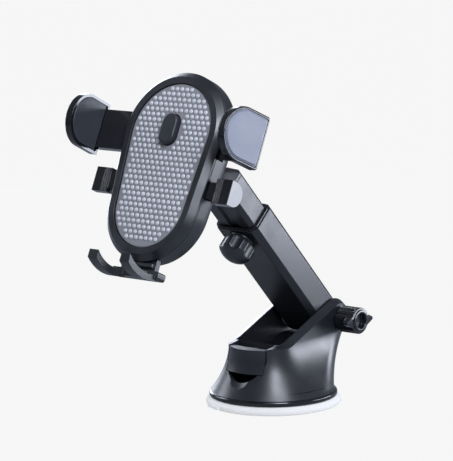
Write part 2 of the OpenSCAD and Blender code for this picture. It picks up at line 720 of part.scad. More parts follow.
// Teeth of a rack on its pitch line, pointing to -Y, with a tooth gap at x = shift
module rack_teeth(count, shift) {
  w = rack_pitch / 2 - tooth_play;
  t = tan(20);
  ded = 0.95 * mod;
  for (k = [-count:count]) translate([shift + rack_pitch * (k + 0.5), 0])
    polygon([
      [-w / 2 - ded * t, ded], [w / 2 + ded * t, ded], [w / 2 - rack_add * t, -rack_add], [-w / 2 + rack_add * t, -rack_add]
    ]);
}
module pinion() {
  color("white") at_head() translate([0, gear_u, 0]) difference() {
    union() {
      slab(gear_t, gear_t + gear_h) rotate([0, 0, 90]) pinion_outline();
      slab(gear_t + gear_h, gear_t + gear_h + 1.4) polygon([for (k = [0:11], e = [0, 1])
        (e == 0 ? 5.4 : 6.6) * [cos(k * 30 + e * 26), sin(k * 30 + e * 26)]]);
    }
    slab(0, head_t) circle(2.06);
  }
}
module clamp_spring() {
  t0 = gear_t + gear_h + 1.7;
  w = 0.35;
  steps = 84;
  at = function (i, off) (2.7 + w + 4.6 * i / steps + off) * [cos(i * 12), sin(i * 12)];
  color("silver") at_head() translate([0, gear_u, 0]) slab(t0, t0 + 1.6) polygon(concat(
    [for (i = [0:steps]) at(i, -w)], [for (i = [steps:-1:0]) at(i, w)]));
}
pawl_at = [-12.5, gear_u - 8.5];
pawl_t = gear_t + gear_h + 0.3;
module latch_pawl() {
  color("goldenrod") at_head() translate([pawl_at[0], pawl_at[1], 0]) slab(pawl_t, pawl_t + 1) difference() {
    union() {
      circle(2.4);
      rotate(34) translate([0, -1.1]) square([6.8, 2.2]);
      rotate(-110) translate([0, -1.3]) square([8.5, 2.6]);
    }
    circle(1.05);
  }
}
module pawl_pin() {
  color("silver") at_head() translate([pawl_at[0], pawl_at[1], 0]) slab(gear_t + gear_h + 0.1, cover_t + 0.8) circle(1);
}

// ---------- clamp arms: drawn for the right side; the left one is turned half round the pinion ----------
module jaw_outline(add) {
  r = jaw_h / 2;
  union() {
    intersection() {
      circle(r + add);
      translate([0, -r - 1]) square([r + add + 1, 2 * r + 2]);
    }
    translate([r - jaw_depth - add, -r - add]) square([jaw_depth - r + add + eps, 2 * r + 2 * add]);
  }
}
jaw_back = 8.4;
// Jaw frame: X towards the phone's screen, Y up, Z outwards from the jaw's inner face
module at_jaw() {
  translate([jaw_x, gear_u, -jaw_back]) rotate([0, -jaw_toe, 0]) rotate([90, 0, 90]) rotate([0, 0, 90])
    translate([jaw_depth - jaw_h / 2, 0, 0]) children();
}
module clamp_arm(side) {
  t1 = plate_t + 2.2;
  end_x = jaw_x + 0.6;
  difference() {
    union() {
      slab(plate_t, t1) translate([33, gear_u - arm_h / 2]) square([end_x - 33, arm_h]);
      slab(t1 - eps, gear_t + gear_h) translate([33, side > 0 ? gear_u + 4 : gear_u - 11])
        square([end_x - 33, 7]);
      slab(gear_t, gear_t + gear_h) union() {
        translate([-8, gear_u + side * pinion_r + (side > 0 ? 0.8 : -4.4)]) square([42, 3.6]);
        translate([0, gear_u + side * pinion_r]) mirror([0, side > 0 ? 0 : 1])
          intersection() {
            rack_teeth(14, 0);
            translate([-8, -2]) square([38, 4]);
          }
      }
      at_jaw() translate([0, 0, 0.9]) linear_extrude(jaw_t - 0.9) jaw_outline(0);
      at_jaw() difference() {
        linear_extrude(jaw_t) jaw_outline(0);
        translate([0, 0, -1]) linear_extrude(jaw_t) jaw_outline(-1.5);
      }
    }
    at_jaw() translate([0, 0, jaw_t - 0.7]) linear_extrude(2) jaw_outline(-1.3);
  }
}
module jaw_pad() {
  edge = jaw_h / 2 - jaw_depth + (jaw_back - plate_t) / cos(jaw_toe) + 0.5;
  at_jaw() translate([0, 0, -0.5]) linear_extrude(1.38) intersection() {
    jaw_outline(-1.7);
    translate([edge, -jaw_h / 2]) square([jaw_depth, jaw_h]);
  }
}
module jaw_cap() {
  at_jaw() translate([0, 0, jaw_t - 0.68]) union() {
    linear_extrude(0.9) jaw_outline(-1.5);
    linear_extrude(1.5) jaw_outline(-2.4);
  }
}
module left_side() { mirror([1, 0, 0]) children(); }
module right_clamp_arm() { color("gray") at_head() clamp_arm(1); }
module left_clamp_arm() { color("gray") at_head() left_side() clamp_arm(-1); }
module right_jaw_pad() { color("black") at_head() jaw_pad(); }
module left_jaw_pad() { color("black") at_head() left_side() jaw_pad(); }
module right_jaw_cap() { color("silver") at_head() jaw_cap(); }
module left_jaw_cap() { color("silver") at_head() left_side() jaw_cap(); }

// ---------- trigger, side buttons and foot ----------
module trigger_tab() {
  proud = 2.6;
  floor_t = pad_drop + pad_t;
  color("gray") at_head() union() {
    slab(-proud + 0.6, floor_t + 1.9) trigger_hole(0);
    slab(-proud, floor_t) trigger_hole(-0.6);
    slab(floor_t + 1.8, floor_t + 2.6) translate([0, 18]) rounded(13, 20, 3);
  }
}
module trigger_spring() {
  t0 = pad_drop + pad_t + 2.7;
  color("silver") at_head() translate([0, gear_u, -gear_t + 0.45]) coil(2.4, 0.25, gear_t - 0.45 - t0, 1.5);
}
button_in = 37.4;
button_front = 4.8;
button_back = 15.4;
// Side outline of a button in the plane of height and depth: flat towards the phone, round behind
module button_side() {
  r = button_h / 2;
  translate([button_u, 0]) union() {
    translate([-r, r - button_back]) square([button_h, button_back - button_front - r]);
    intersection() {
      translate([0, r - button_back]) circle(r);
      translate([-r, -button_back]) square([button_h, r + eps]);
    }
  }
}
module button_body() {
  groove_at = [button_in + 0.9, button_u - button_h];
  color("gray") at_head() difference() {
    union() {
      along_x(button_in, button_in + button_w) button_side();
      translate([0, button_u, 0]) union() {
        slab(5.2, 10.6) translate([28, -4.6]) square([button_in - 27, 9.2]);
        slab(4.8, 12) translate([26.6, -6.6]) square([1.6, 13.2]);
        slab(6.4, 9.4) translate([24.4, -1.5]) square([3, 3]);
      }
    }
    for (i = [0:2]) slab(4, button_front + 0.4) translate(groove_at + [i * 1.5, 0]) square([0.7, 2 * button_h]);
  }
}
module button_coil() {
  color("silver") at_head() translate([17.1, button_u, -7.9]) rotate([0, 90, 0]) coil(2.5, 0.3, 9.4, 5);
}
module right_button() { button_body(); }
module left_button() { left_side() button_body(); }
module right_button_spring() { button_coil(); }
module left_button_spring() { left_side() button_coil(); }
foot_top = head_low - 3.4;
toe_x = 11.3;
// Toe outline in the plane of height and reach, an arc that turns up at the front
module toe_outline() {
  r = 27;
  mid = [foot_top + r - 7.1, toe_reach - 15.3];
  difference() {
    intersection() {
      translate(mid) circle(r, $fn = 96);
      translate([foot_top - 10, -7]) square([14, toe_reach + 7]);
    }
    translate(mid) circle(r - 3.6, $fn = 96);
  }
}
module foot() {
  toe_w = 6.6;
  color("gray") at_head() union() {
    slab(5, 8.4) translate([-stem_w / 2, foot_top - 1]) square([stem_w, 30]);
    slab(3.4, 10) translate([0, foot_top - 2.8]) rounded(foot_w, 4.4, 1.4);
    for (s = [-1, 1]) along_x(s * toe_x - toe_w / 2, s * toe_x + toe_w / 2) toe_outline();
    slab(3, 6) translate([-11, head_low - 2.4]) square([22, 2]);
  }
}
module toe_pads() {
  r = 27 - 3.6;
  mid = [foot_top + 27 - 7.1, toe_reach - 15.3];
  color("black") at_head() for (s = [-1, 1]) along_x(s * toe_x - 2.3, s * toe_x + 2.3) difference() {
    intersection() {
      translate(mid) circle(r, $fn = 96);
      translate([foot_top - 10, 2]) square([14, toe_reach - 3]);
    }
    translate(mid) circle(r - 0.8, $fn = 96);
  }
}

gel_foot();
cup_disc();
base_ring();
base_housing();
tray_liner();
base_plate();
lever_pin();
base_screws();
pivot_nut();
pivot_washers();
lock_lever();
cup_stud();
stud_spring();
pivot_knob();
pivot_bolt();
outer_tube();
pivot_bush();
mouth_liner();
tension_insert();
pressure_shoe();
tension_knob();
tension_screw();
inner_tube();
slide_collar();
arm_end_cap();
ball_stud();
inner_ball_cup();
outer_ball_cup();
rear_shell();
front_shell();
grip_pad();
head_screws();
gear_cover();
pinion_axle();
ball_nut();
pinion();
clamp_spring();
latch_pawl();
pawl_pin();
right_clamp_arm();
right_jaw_pad();
right_jaw_cap();
left_clamp_arm();
left_jaw_pad();
left_jaw_cap();
trigger_tab();
trigger_spring();
right_button();
left_button();
right_button_spring();
left_button_spring();
foot();
toe_pads();
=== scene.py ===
"""Looks of a car phone mount: suction base, lock lever, telescopic arm and clamp head.

Every shape is drawn in millimetres in one of three local frames, base, arm or head,
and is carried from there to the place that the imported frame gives.
"""
import json
from math import asin, cos, degrees, hypot, pi, radians, sin, sqrt, tan

import bmesh
import bpy
from bpy.props import FloatProperty, FloatVectorProperty, IntProperty
from mathutils import Matrix, Vector


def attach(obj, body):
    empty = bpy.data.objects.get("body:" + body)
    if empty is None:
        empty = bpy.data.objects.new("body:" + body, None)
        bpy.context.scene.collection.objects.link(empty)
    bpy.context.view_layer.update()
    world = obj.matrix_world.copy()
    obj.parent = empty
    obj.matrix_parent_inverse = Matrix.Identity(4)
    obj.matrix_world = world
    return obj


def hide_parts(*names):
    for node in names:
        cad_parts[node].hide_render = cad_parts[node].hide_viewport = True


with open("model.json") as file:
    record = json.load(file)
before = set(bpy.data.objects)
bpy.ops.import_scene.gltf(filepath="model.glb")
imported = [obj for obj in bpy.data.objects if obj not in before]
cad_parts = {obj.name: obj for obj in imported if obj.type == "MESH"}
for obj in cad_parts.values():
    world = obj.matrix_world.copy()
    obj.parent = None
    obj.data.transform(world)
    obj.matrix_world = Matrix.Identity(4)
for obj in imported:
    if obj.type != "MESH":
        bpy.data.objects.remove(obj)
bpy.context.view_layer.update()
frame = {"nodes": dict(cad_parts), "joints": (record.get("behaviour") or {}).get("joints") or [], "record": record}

bl_info = {
    "name": "Car phone mount",
    "version": (1, 0, 0),
    "blender": (4, 5, 0),
    "location": "View3D > Sidebar > Phone mount",
    "description": "Builds the looks of a car phone mount round its packed frame",
    "category": "Object",
}

MM = 0.001
# Radius at which a turned profile meets its axis, so that its pole closes
CORE_R = 0.02
JOINTS = {j["name"]: j for j in frame["joints"]}
MOUNTS = {m["name"]: m for m in frame["record"]["mounts"]}
BODY_OF = {n: b for b, ns in frame["record"]["behaviour"]["bodies"].items() for n in ns}
SLOT_OF = {s["node"]: s["material_slot"] for s in frame["record"]["subparts"]}

# ---------- local frames, from millimetres to the frame's metres ----------
X = Vector((1, 0, 0))
PIVOT = Vector(JOINTS["pivot_knob_turn"]["pos_m"])
BALL = Vector(JOINTS["ball_roll"]["pos_m"])
ARM_DIR = Vector(JOINTS["arm_extend"]["axis"])
HEAD_BACK = Vector(JOINTS["ball_roll"]["axis"])
HEAD_UP = -Vector(JOINTS["foot_slide"]["axis"])
LEVER_PIN = Vector(JOINTS["lever_turn"]["pos_m"])


def local_frame(origin, x, y, z):
    """Matrix from millimetres along the axes x, y and z at origin to metres."""
    m = Matrix((x, y, z)).transposed().to_4x4()
    m.translation = origin
    return m @ Matrix.Scale(MM, 4)


PAD_MIDDLE_U = -20.0
PAD_DROP = 0.8
HEAD_ORIGIN = (
    Vector(MOUNTS["phone_rest"]["pos_m"]) - HEAD_UP * PAD_MIDDLE_U * MM - HEAD_BACK * PAD_DROP * MM
)
BASE = Matrix.Scale(MM, 4)
AT_ARM = local_frame(PIVOT, X, ARM_DIR.cross(X), ARM_DIR)
AT_HEAD = local_frame(HEAD_ORIGIN, X, HEAD_UP, -HEAD_BACK)
AT_PIVOT = Matrix.Translation(PIVOT) @ BASE
AT_BALL = local_frame(BALL, X, HEAD_UP, -HEAD_BACK)
X_UP = Matrix.Rotation(radians(90), 4, "Y")
MIRROR = Matrix.Scale(-1, 4, X)


def local_box(name, at):
    """Lowest and highest corner of a CAD node, in a local frame's millimetres."""
    inverse = at.inverted()
    points = [inverse @ v.co for v in frame["nodes"][name].data.vertices]
    low = Vector([min(p[i] for p in points) for i in range(3)])
    high = Vector([max(p[i] for p in points) for i in range(3)])
    return low, high


# ---------- sizes ----------
GEL_R = 38.0
GEL_H = local_box("gel_foot", BASE)[1].z
RING_R = local_box("base_ring", BASE)[1].x
HOUSE_Z = local_box("base_ring", BASE)[1].z
HOUSE_R = RING_R - 0.8
PIVOT_Y = PIVOT.y / MM
PIVOT_Z = PIVOT.z / MM
NECK_Z = PIVOT_Z - 7
BOSS_R = 10.9
TUBE_HIGH = local_box("outer_tube", AT_ARM)[1]
TUBE_W = 2 * TUBE_HIGH.x
TUBE_D = 2 * TUBE_HIGH.y
TUBE_C = 3.1
TUBE_LEN = TUBE_HIGH.z
INNER_HIGH = local_box("inner_tube", AT_ARM)[1]
INNER_C = 2.15
FORK_X = (TUBE_W + 1.2) / 2
CHEEK_X = FORK_X + 4.9
LEVER_W = 2 * local_box("lock_lever", BASE)[1].x
LEVER_TOP = LEVER_PIN.z / MM + 6
LIP_Z = 21.2
SCOOP_R = 19.6
KNOB_S = 79.0
BALL_R = 8.5
BALL_S = (BALL - PIVOT).length / MM
HEAD_T = 17.0
PART_T = 4.4
LOBE_TOP, LOBE_TOP_U = 27.2, 17.0
LOBE_LOW, LOBE_LOW_U = 24.0, -24.0
RIM_W = 3.6
BAND_W = 3.4
BAND_D = 3.2
OUT_ADD = RIM_W + BAND_W
PAD_T = 1.2
FLOOR_T = PAD_DROP + PAD_T
GEAR_U = 16.5
BUTTON_U = -11.8
SCREWS = [(-16, 34), (16, 34), (-17.5, -27), (17.5, -27)]
BALL_DEPTH = (BALL - HEAD_ORIGIN).dot(HEAD_BACK) / MM
JAW_X = 55.0
JAW_H = 29.4
JAW_DEPTH = 30.4
JAW_T = 4.4
JAW_TOE = 6.0
JAW_BACK = 8.4
ARM_H = 22.0
ARM_T = 4.8
AT_JAW = (
    AT_HEAD
    @ Matrix.Translation((JAW_X, GEAR_U, -JAW_BACK))
    @ Matrix.Rotation(radians(-JAW_TOE), 4, "Y")
    @ Matrix(((0, 0, 1, 0), (0, -1, 0, 0), (1, 0, 0, 0), (0, 0, 0, 1)))
    @ Matrix.Translation((JAW_DEPTH - JAW_H / 2, 0, 0))
)


def linear(value):
    """sRGB hex value to a linear RGB tuple."""
    parts = [(value >> s & 255) / 255 for s in (16, 8, 0)]
    return tuple(c / 12.92 if c <= 0.04045 else ((c + 0.055) / 1.055) ** 2.4 for c in parts)


class MountSizes(bpy.types.PropertyGroup):
    """Sizes of the details that the looks add to the frame."""

    edge: FloatProperty(
        name="Edge", description="Rounding of moulded edges", default=0.45 * MM, min=0.0, unit="LENGTH"
    )
    fine_edge: FloatProperty(
        name="Fine edge", description="Rounding of small edges", default=0.22 * MM, min=0.0, unit="LENGTH"
    )
    dome_pitch: FloatProperty(
        name="Dome pitch", description="Spacing of the pad's domes along a row", default=3.45 * MM, unit="LENGTH"
    )
    dome_radius: FloatProperty(
        name="Dome radius", description="Radius of each dome of the pad", default=1.24 * MM, unit="LENGTH"
    )
    dome_height: FloatProperty(
        name="Dome height", description="Height of each dome above the pad", default=0.62 * MM, unit="LENGTH"
    )
    nut_ribs: IntProperty(name="Nut ribs", description="Grip ribs round the ball nut", default=12, min=3)
    knob_scallops: IntProperty(
        name="Knob scallops", description="Finger scallops of the tension knob", default=6, min=3
    )


class MountColours(bpy.types.PropertyGroup):
    """Colours of the materials."""

    abs_black: FloatVectorProperty(
        name="Satin ABS", description="Colour of the satin housings", subtype="COLOR", default=linear(0x1C1E22)
    )
    gloss_black: FloatVectorProperty(
        name="Polished ABS", description="Colour of the polished parts", subtype="COLOR", default=linear(0x141519)
    )
    inset_grey: FloatVectorProperty(
        name="Inset grey", description="Colour of the smooth caps", subtype="COLOR", default=linear(0x26282D)
    )
    cap_grey: FloatVectorProperty(
        name="Cap lacquer", description="Colour of the outer jaw caps", subtype="COLOR", default=linear(0x6C717D)
    )
    pad_grey: FloatVectorProperty(
        name="Pad rubber", description="Colour of the pad between its domes",
        subtype="COLOR", default=linear(0x050506),
    )
    # Pale dome grey is a painted highlight: each dome's bright spot is painted into its colour
    dome_highlight_grey: FloatVectorProperty(
        name="Dome rubber", description="Colour of the worn bright domes",
        subtype="COLOR", default=linear(0xB6B7BB),
    )
    silicone: FloatVectorProperty(
        name="Silicone", description="Colour of the soft grip pads", subtype="COLOR", default=linear(0x33363B)
    )


def sizes():
    return bpy.context.scene.mount_sizes


def colours():
    return bpy.context.scene.mount_colours


# ---------- materials ----------
def add_node(tree, kind, inputs=(), **settings):
    """Adds a node; inputs are socket values or the sockets that feed them."""
    made = tree.nodes.new(kind)
    for key, value in settings.items():
        setattr(made, key, value)
    for key, value in dict(inputs).items():
        if isinstance(value, bpy.types.NodeSocket):
            tree.links.new(value, made.inputs[key])
        else:
            made.inputs[key].default_value = value
    return made


def surface(name, colour, rough, grain=0.3, relief=0.012, spread=0.06, shade=0.18, **shader):
    """A moulded or turned surface: fine grain as relief, broad drifts of gloss and tone.

    grain is the width of the grain and relief its height, both in millimetres; spread is how
    far the roughness drifts and shade how far the colour does."""
    if name in bpy.data.materials:
        return bpy.data.materials[name]
    made = bpy.data.materials.new(name)
    made.use_nodes = True
    tree = made.node_tree
    tree.nodes.clear()
    spot = add_node(tree, "ShaderNodeTexCoord").outputs["Object"]
    drift = add_node(
        tree, "ShaderNodeTexNoise", {"Vector": spot, "Scale": 1 / (14 * MM), "Detail": 3.0, "Roughness": 0.6}
    ).outputs["Fac"]
    fine = add_node(
        tree, "ShaderNodeTexNoise", {"Vector": spot, "Scale": 1 / (grain * MM), "Detail": 2.0}
    ).outputs["Fac"]
    bump = add_node(
        tree, "ShaderNodeBump", {"Height": fine, "Distance": relief * MM, "Strength": 1.0}
    ).outputs["Normal"]
    dark = tuple(c * (1 - shade) for c in colour) + (1.0,)
    pale = tuple(min(1.0, c * (1 + shade)) for c in colour) + (1.0,)
    tone = add_node(
        tree, "ShaderNodeMix", {0: drift, 6: dark, 7: pale}, data_type="RGBA"
    )
    gloss = add_node(
        tree, "ShaderNodeMapRange",
        {"Value": drift, "From Min": 0.3, "From Max": 0.7, "To Min": rough - spread, "To Max": rough + spread},
    ).outputs["Result"]
    bsdf = add_node(
        tree, "ShaderNodeBsdfPrincipled",
        {"Base Color": tone.outputs[2], "Roughness": gloss, "Normal": bump, **shader},
    )
    add_node(tree, "ShaderNodeOutputMaterial", {"Surface": bsdf.outputs["BSDF"]})
    return made


def satin_abs():
    # Satin ABS, moulded against a lightly blasted tool: dark blue-grey with a soft wide highlight.
    return surface("satin_abs", colours().abs_black, 0.34, grain=0.35, relief=0.006, IOR=1.54)


def polished_abs():
    # ABS from a polished tool: near black with a crisp reflection, faintly wavy as mouldings are.
    return surface("polished_abs", colours().gloss_black, 0.16, grain=5, relief=0.01, spread=0.04, IOR=1.54)


def smooth_cap():
    # Soft-touch lacquer on ABS: an even grey sheen without grain that shows.
    return surface("smooth_cap", colours().inset_grey, 0.36, grain=0.25, relief=0.004, IOR=1.5)


def jaw_lacquer():
    # Satin lacquer on the outer jaw caps: a pale blue-grey that spreads the light evenly.
    return surface("jaw_lacquer", colours().cap_grey, 0.42, grain=0.25, relief=0.004, shade=0.08, IOR=1.5)


def pad_rubber():
    # Moulded rubber between the domes: dull and almost black.
    return surface("pad_rubber", colours().pad_grey, 0.6, grain=0.3, relief=0.01, IOR=1.5)


def dome_highlight_rubber():
    # The same rubber on the domes, in a pale grey that is a painted highlight, so each one carries a small painted
    # bright spot.
    return surface("dome_highlight_rubber", colours().dome_highlight_grey, 0.3, grain=0.3, relief=0.006, IOR=1.5)


def silicone():
    # Silicone pads with a fine spark-eroded face: matt, very slightly lighter than the plastic.
    return surface("silicone", colours().silicone, 0.5, grain=0.3, relief=0.012, IOR=1.43)


def black_rubber():
    # Nitrile rubber sheet, matt black.
    return surface("black_rubber", linear(0x17181A), 0.62, grain=0.4, relief=0.02, IOR=1.5)


def clear_gel():
    # Clear polyurethane gel, cast: lets most light through, slightly milky, with a wet gloss.
    return surface(
        "clear_gel", linear(0xF4F6F8), 0.06, grain=3, relief=0.008, spread=0.02, shade=0.02, IOR=1.43,
        **{"Transmission Weight": 0.93},
    )


def plated_steel():
    # Zinc-plated steel, turned: grey with a soft metallic sheen.
    return surface("plated_steel", linear(0xB4B6BA), 0.3, grain=0.3, relief=0.006, Metallic=1.0)


def spring_steel():
    # Drawn spring wire, darker and smoother than the plated parts.
    return surface("spring_steel", linear(0x8E9096), 0.24, grain=0.3, relief=0.004, Metallic=1.0)


def turned_brass():
    # Free-cutting brass, turned: warm yellow metal.
    return surface("turned_brass", linear(0xC9A45A), 0.25, grain=0.3, relief=0.005, Metallic=1.0)


def natural_nylon():
    # Natural nylon, moulded: waxy off-white.
    return surface(
        "natural_nylon", linear(0xDAD7CD), 0.42, grain=0.4, relief=0.008, IOR=1.53,
        **{"Subsurface Weight": 0.08, "Subsurface Scale": 0.6 * MM},
    )


def dark_nylon():
    # Glass-filled nylon, moulded: dark grey, with fibres that roughen the surface.
    return surface("dark_nylon", linear(0x2E2F31), 0.55, grain=0.5, relief=0.03, IOR=1.53)


FINISH = {
    "clear_gel": clear_gel, "soft_black": black_rubber, "gloss_black": polished_abs, "satin_black": satin_abs,
    "inner_plastic": dark_nylon, "steel": plated_steel, "brass": turned_brass, "nylon": natural_nylon,
    "pad_rubber": pad_rubber, "soft_grey": silicone, "grey_inset": smooth_cap,
}


# ---------- mesh helpers ----------
def mesh_object(name, points, faces, at=BASE):
    """A mesh object from points in a local frame and faces by index."""
    mesh = bpy.data.meshes.new(name)
    mesh.from_pydata([at @ Vector(p) for p in points], [], faces)
    made = bpy.data.objects.new(name, mesh)
    bpy.context.scene.collection.objects.link(made)
    outward(made)
    return made


def outward(piece):
    """Merges doubles and turns every face outwards."""
    work = bmesh.new()
    work.from_mesh(piece.data)
    bmesh.ops.remove_doubles(work, verts=work.verts, dist=1e-7)
    bmesh.ops.recalc_face_normals(work, faces=work.faces)
    work.to_mesh(piece.data)
    work.free()


def loft(name, rings, at=BASE, looped=False):
    """A closed skin through rings of equally many points; looped joins the last ring to the first."""
    n = len(rings[0])
    m = len(rings)
    faces = []
    for j in range(m if looped else m - 1):
        k = (j + 1) % m
        faces += [[j * n + i, j * n + (i + 1) % n, k * n + (i + 1) % n, k * n + i] for i in range(n)]
    if not looped:
        faces += [list(range(n))[::-1], [(m - 1) * n + i for i in range(n)]]
    return mesh_object(name, [p for r in rings for p in r], faces, at)


def prism(name, outline, z0, z1, at=BASE):
    """An outline in x and y, extruded from z0 to z1."""
    return loft(name, [[(x, y, z) for x, y in outline] for z in (z0, z1)], at)


def across(name, outline, x0, x1, at=BASE):
    """An outline in y and z, extruded from x0 to x1."""
    return loft(name, [[(x, y, z) for y, z in outline] for x in (x0, x1)], at)


def circle(r, n=96, middle=(0.0, 0.0), start=0.0):
    turn = [start + 2 * pi * i / n for i in range(n)]
    return [(middle[0] + r * cos(a), middle[1] + r * sin(a)) for a in turn]


def oblong(x0, x1, y0, y1):
    """The four corners of a rectangle, anticlockwise from the lowest."""
    return [(x0, y0), (x1, y0), (x1, y1), (x0, y1)]


def soften(corners, radius, steps=5):
    """A closed outline with its corners rounded; radius is one number or one for each corner."""
    n = len(corners)
    radii = radius if isinstance(radius, (list, tuple)) else [radius] * n
    out = []
    for i, r in enumerate(radii):
        p = Vector(corners[i])
        a = Vector(corners[i - 1]) - p
        b = Vector(corners[(i + 1) % n]) - p
        angle = a.angle(b)
        if r <= 0 or angle > radians(176):
            out.append(tuple(p))
            continue
        reach = min(r / tan(angle / 2), a.length * 0.49, b.length * 0.49)
        start = p + a.normalized() * reach
        end = p + b.normalized() * reach
        for k in range(steps + 1):
            t = k / steps
            out.append(tuple(start * (1 - t) ** 2 + p * 2 * t * (1 - t) + end * t ** 2))
    return out


def rounded_path(corners, radius, steps=4):
    """An open path with its inner corners rounded."""
    out = [tuple(corners[0])]
    for i in range(1, len(corners) - 1):
        p = Vector(corners[i])
        a = Vector(corners[i - 1]) - p
        b = Vector(corners[i + 1]) - p
        reach = min(radius, a.length * 0.49, b.length * 0.49)
        start = p + a.normalized() * reach
        end = p + b.normalized() * reach
        for k in range(steps + 1):
            t = k / steps
            out.append(tuple(start * (1 - t) ** 2 + p * 2 * t * (1 - t) + end * t ** 2))
    return out + [tuple(corners[-1])]


def lathe(name, profile, at=BASE, n=128, shape=None, looped=False):
    """Turns a profile of radius and height round z; shape(angle, radius, height) may change the radius."""
    rings = []
    for r, z in profile:
        ring = []
        for i in range(n):
            a = 2 * pi * i / n
            q = shape(a, r, z) if shape else r
            ring.append((q * cos(a), q * sin(a), z))
        rings.append(ring)
    return loft(name, rings, at, looped)


def rod(r, z0, z1):
    """The profile of a plain round bar."""
    return [(CORE_R, z0), (r, z0), (r, z1), (CORE_R, z1)]


def globe(r, n):
    """The profile of a ball about the origin, from its lowest point up."""
    return [(max(CORE_R, r * sin(pi * i / n)), -r * cos(pi * i / n)) for i in range(n + 1)]


def combine(piece, others, operation):
    """Boolean of a piece with others, which are used up."""
    for other in others:
        step = piece.modifiers.new("cut", "BOOLEAN")
        step.operation = operation
        step.solver = "EXACT"
        step.object = other
    settle(piece)
    for other in others:
        bpy.data.objects.remove(other)
    return piece


def settle(piece):
    """Turns a piece's modifiers into plain mesh."""
    bpy.context.view_layer.update()
    graph = bpy.context.evaluated_depsgraph_get()
    mesh = bpy.data.meshes.new_from_object(piece.evaluated_get(graph))
    mesh.name = piece.name
    piece.modifiers.clear()
    piece.data = mesh


def clean(piece, flat=0.4):
    """Merges doubles and joins faces that lie in one plane."""
    work = bmesh.new()
    work.from_mesh(piece.data)
    bmesh.ops.remove_doubles(work, verts=work.verts, dist=2e-6)
    bmesh.ops.dissolve_limit(
        work, angle_limit=radians(flat), verts=work.verts, edges=work.edges, use_dissolve_boundaries=False
    )
    work.to_mesh(piece.data)
    work.free()


def dress(piece, material, edge=None, sharp=32, segments=3):
    """Rounds the sharp edges, shades the piece smoothly and gives it its material."""
    piece.data.materials.clear()
    piece.data.materials.append(material)
    if edge:
        bevel = piece.modifiers.new("edge", "BEVEL")
        bevel.width = edge
        bevel.segments = segments
        bevel.limit_method = "ANGLE"
        bevel.angle_limit = radians(sharp)
        bevel.use_clamp_overlap = True
        bevel.miter_outer = "MITER_ARC"
        settle(piece)
    piece.data.polygons.foreach_set("use_smooth", [True] * len(piece.data.polygons))
    piece.data.set_sharp_from_angle(angle=radians(sharp if not edge else 50))
    weigh = piece.modifiers.new("normals", "WEIGHTED_NORMAL")
    weigh.keep_sharp = True
    weigh.mode = "FACE_AREA"
    settle(piece)
    return piece


def hand_over(piece, *nodes):
    """Lets a finished piece stand for its CAD nodes, on their body, and hides the nodes."""
    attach(piece, BODY_OF[nodes[0]])
    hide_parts(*nodes)


def refine(name, material, edge, sharp=32, label=None):
    """A merged copy of a CAD node with rounded edges, which stands for it."""
    source = frame["nodes"][name]
    piece = bpy.data.objects.new(label or name + "_skin", source.data.copy())
    bpy.context.scene.collection.objects.link(piece)
    clean(piece)
    dress(piece, material, edge, sharp)
    hand_over(piece, name)
    return piece


# ---------- outlines that several pieces share ----------
def lobes(add, n=192):
    """Points round the head: an upper and a lower lobe with straight flanks."""
    ra, rb = LOBE_TOP + add, LOBE_LOW + add
    lean = -asin((ra - rb) / (LOBE_TOP_U - LOBE_LOW_U))
    half = n // 2 - 1
    top = [lean + (pi - 2 * lean) * i / half for i in range(half + 1)]
    low = [pi - lean + (pi + 2 * lean) * i / half for i in range(half + 1)]
    return [(ra * cos(a), LOBE_TOP_U + ra * sin(a)) for a in top] + [
        (rb * cos(a), LOBE_LOW_U + rb * sin(a)) for a in low
    ]


def head_rings(profile, n=192):
    """Rings of the head's outline for a profile of offset and depth behind the rim."""
    return [[(x, y, -t) for x, y in lobes(add, n)] for add, t in profile]


def stadium(w, h, middle, n=48):
    r = w / 2
    top = [(middle[0] + r * cos(pi * i / n), middle[1] + h / 2 - r + r * sin(pi * i / n)) for i in range(n + 1)]
    low = [(2 * middle[0] - x, 2 * middle[1] - y) for x, y in top]
    return top + low


def tube_outline(w, d, c):
    x, y = w / 2, d / 2
    return [(x, c - y), (x, y - c), (x - c, y), (c - x, y), (-x, y - c), (-x, c - y), (c - x, -y), (x - c, -y)]


def rise(z):
    return min(1.0, max(0.0, (z - HOUSE_Z) / (NECK_Z - HOUSE_Z)))


def house_ring(z, add, n=160):
    """Ring of the base housing at height z: round at the foot, drawn in and leaning back above."""
    half = CHEEK_X + (HOUSE_R - CHEEK_X) * (1 - rise(z)) ** 1.8 + add
    front = -7 * rise(z)
    t = min(1.0, max(0.0, (z - HOUSE_Z - 1.2) / (PIVOT_Z - HOUSE_Z - 1.2)))
    back = PIVOT_Y * (1 - (1 - t) ** 1.35) + 0.02
    quarter = n // 2 - 1
    turn = [pi * i / quarter for i in range(quarter + 1)]
    return [(half * cos(a), back + half * sin(a), z) for a in turn] + [
        (-half * cos(a), front - half * sin(a), z) for a in turn
    ]


def house_body(name, add, z0, z1, steps=44, n=160):
    return loft(name, [house_ring(z0 + (z1 - z0) * i / steps, add, n) for i in range(steps + 1)])


CHEEK_SLOPE = radians(23.3)
SLOPE_Y = PIVOT_Y - BOSS_R * sin(CHEEK_SLOPE)
SLOPE_Z = PIVOT_Z + BOSS_R * cos(CHEEK_SLOPE)


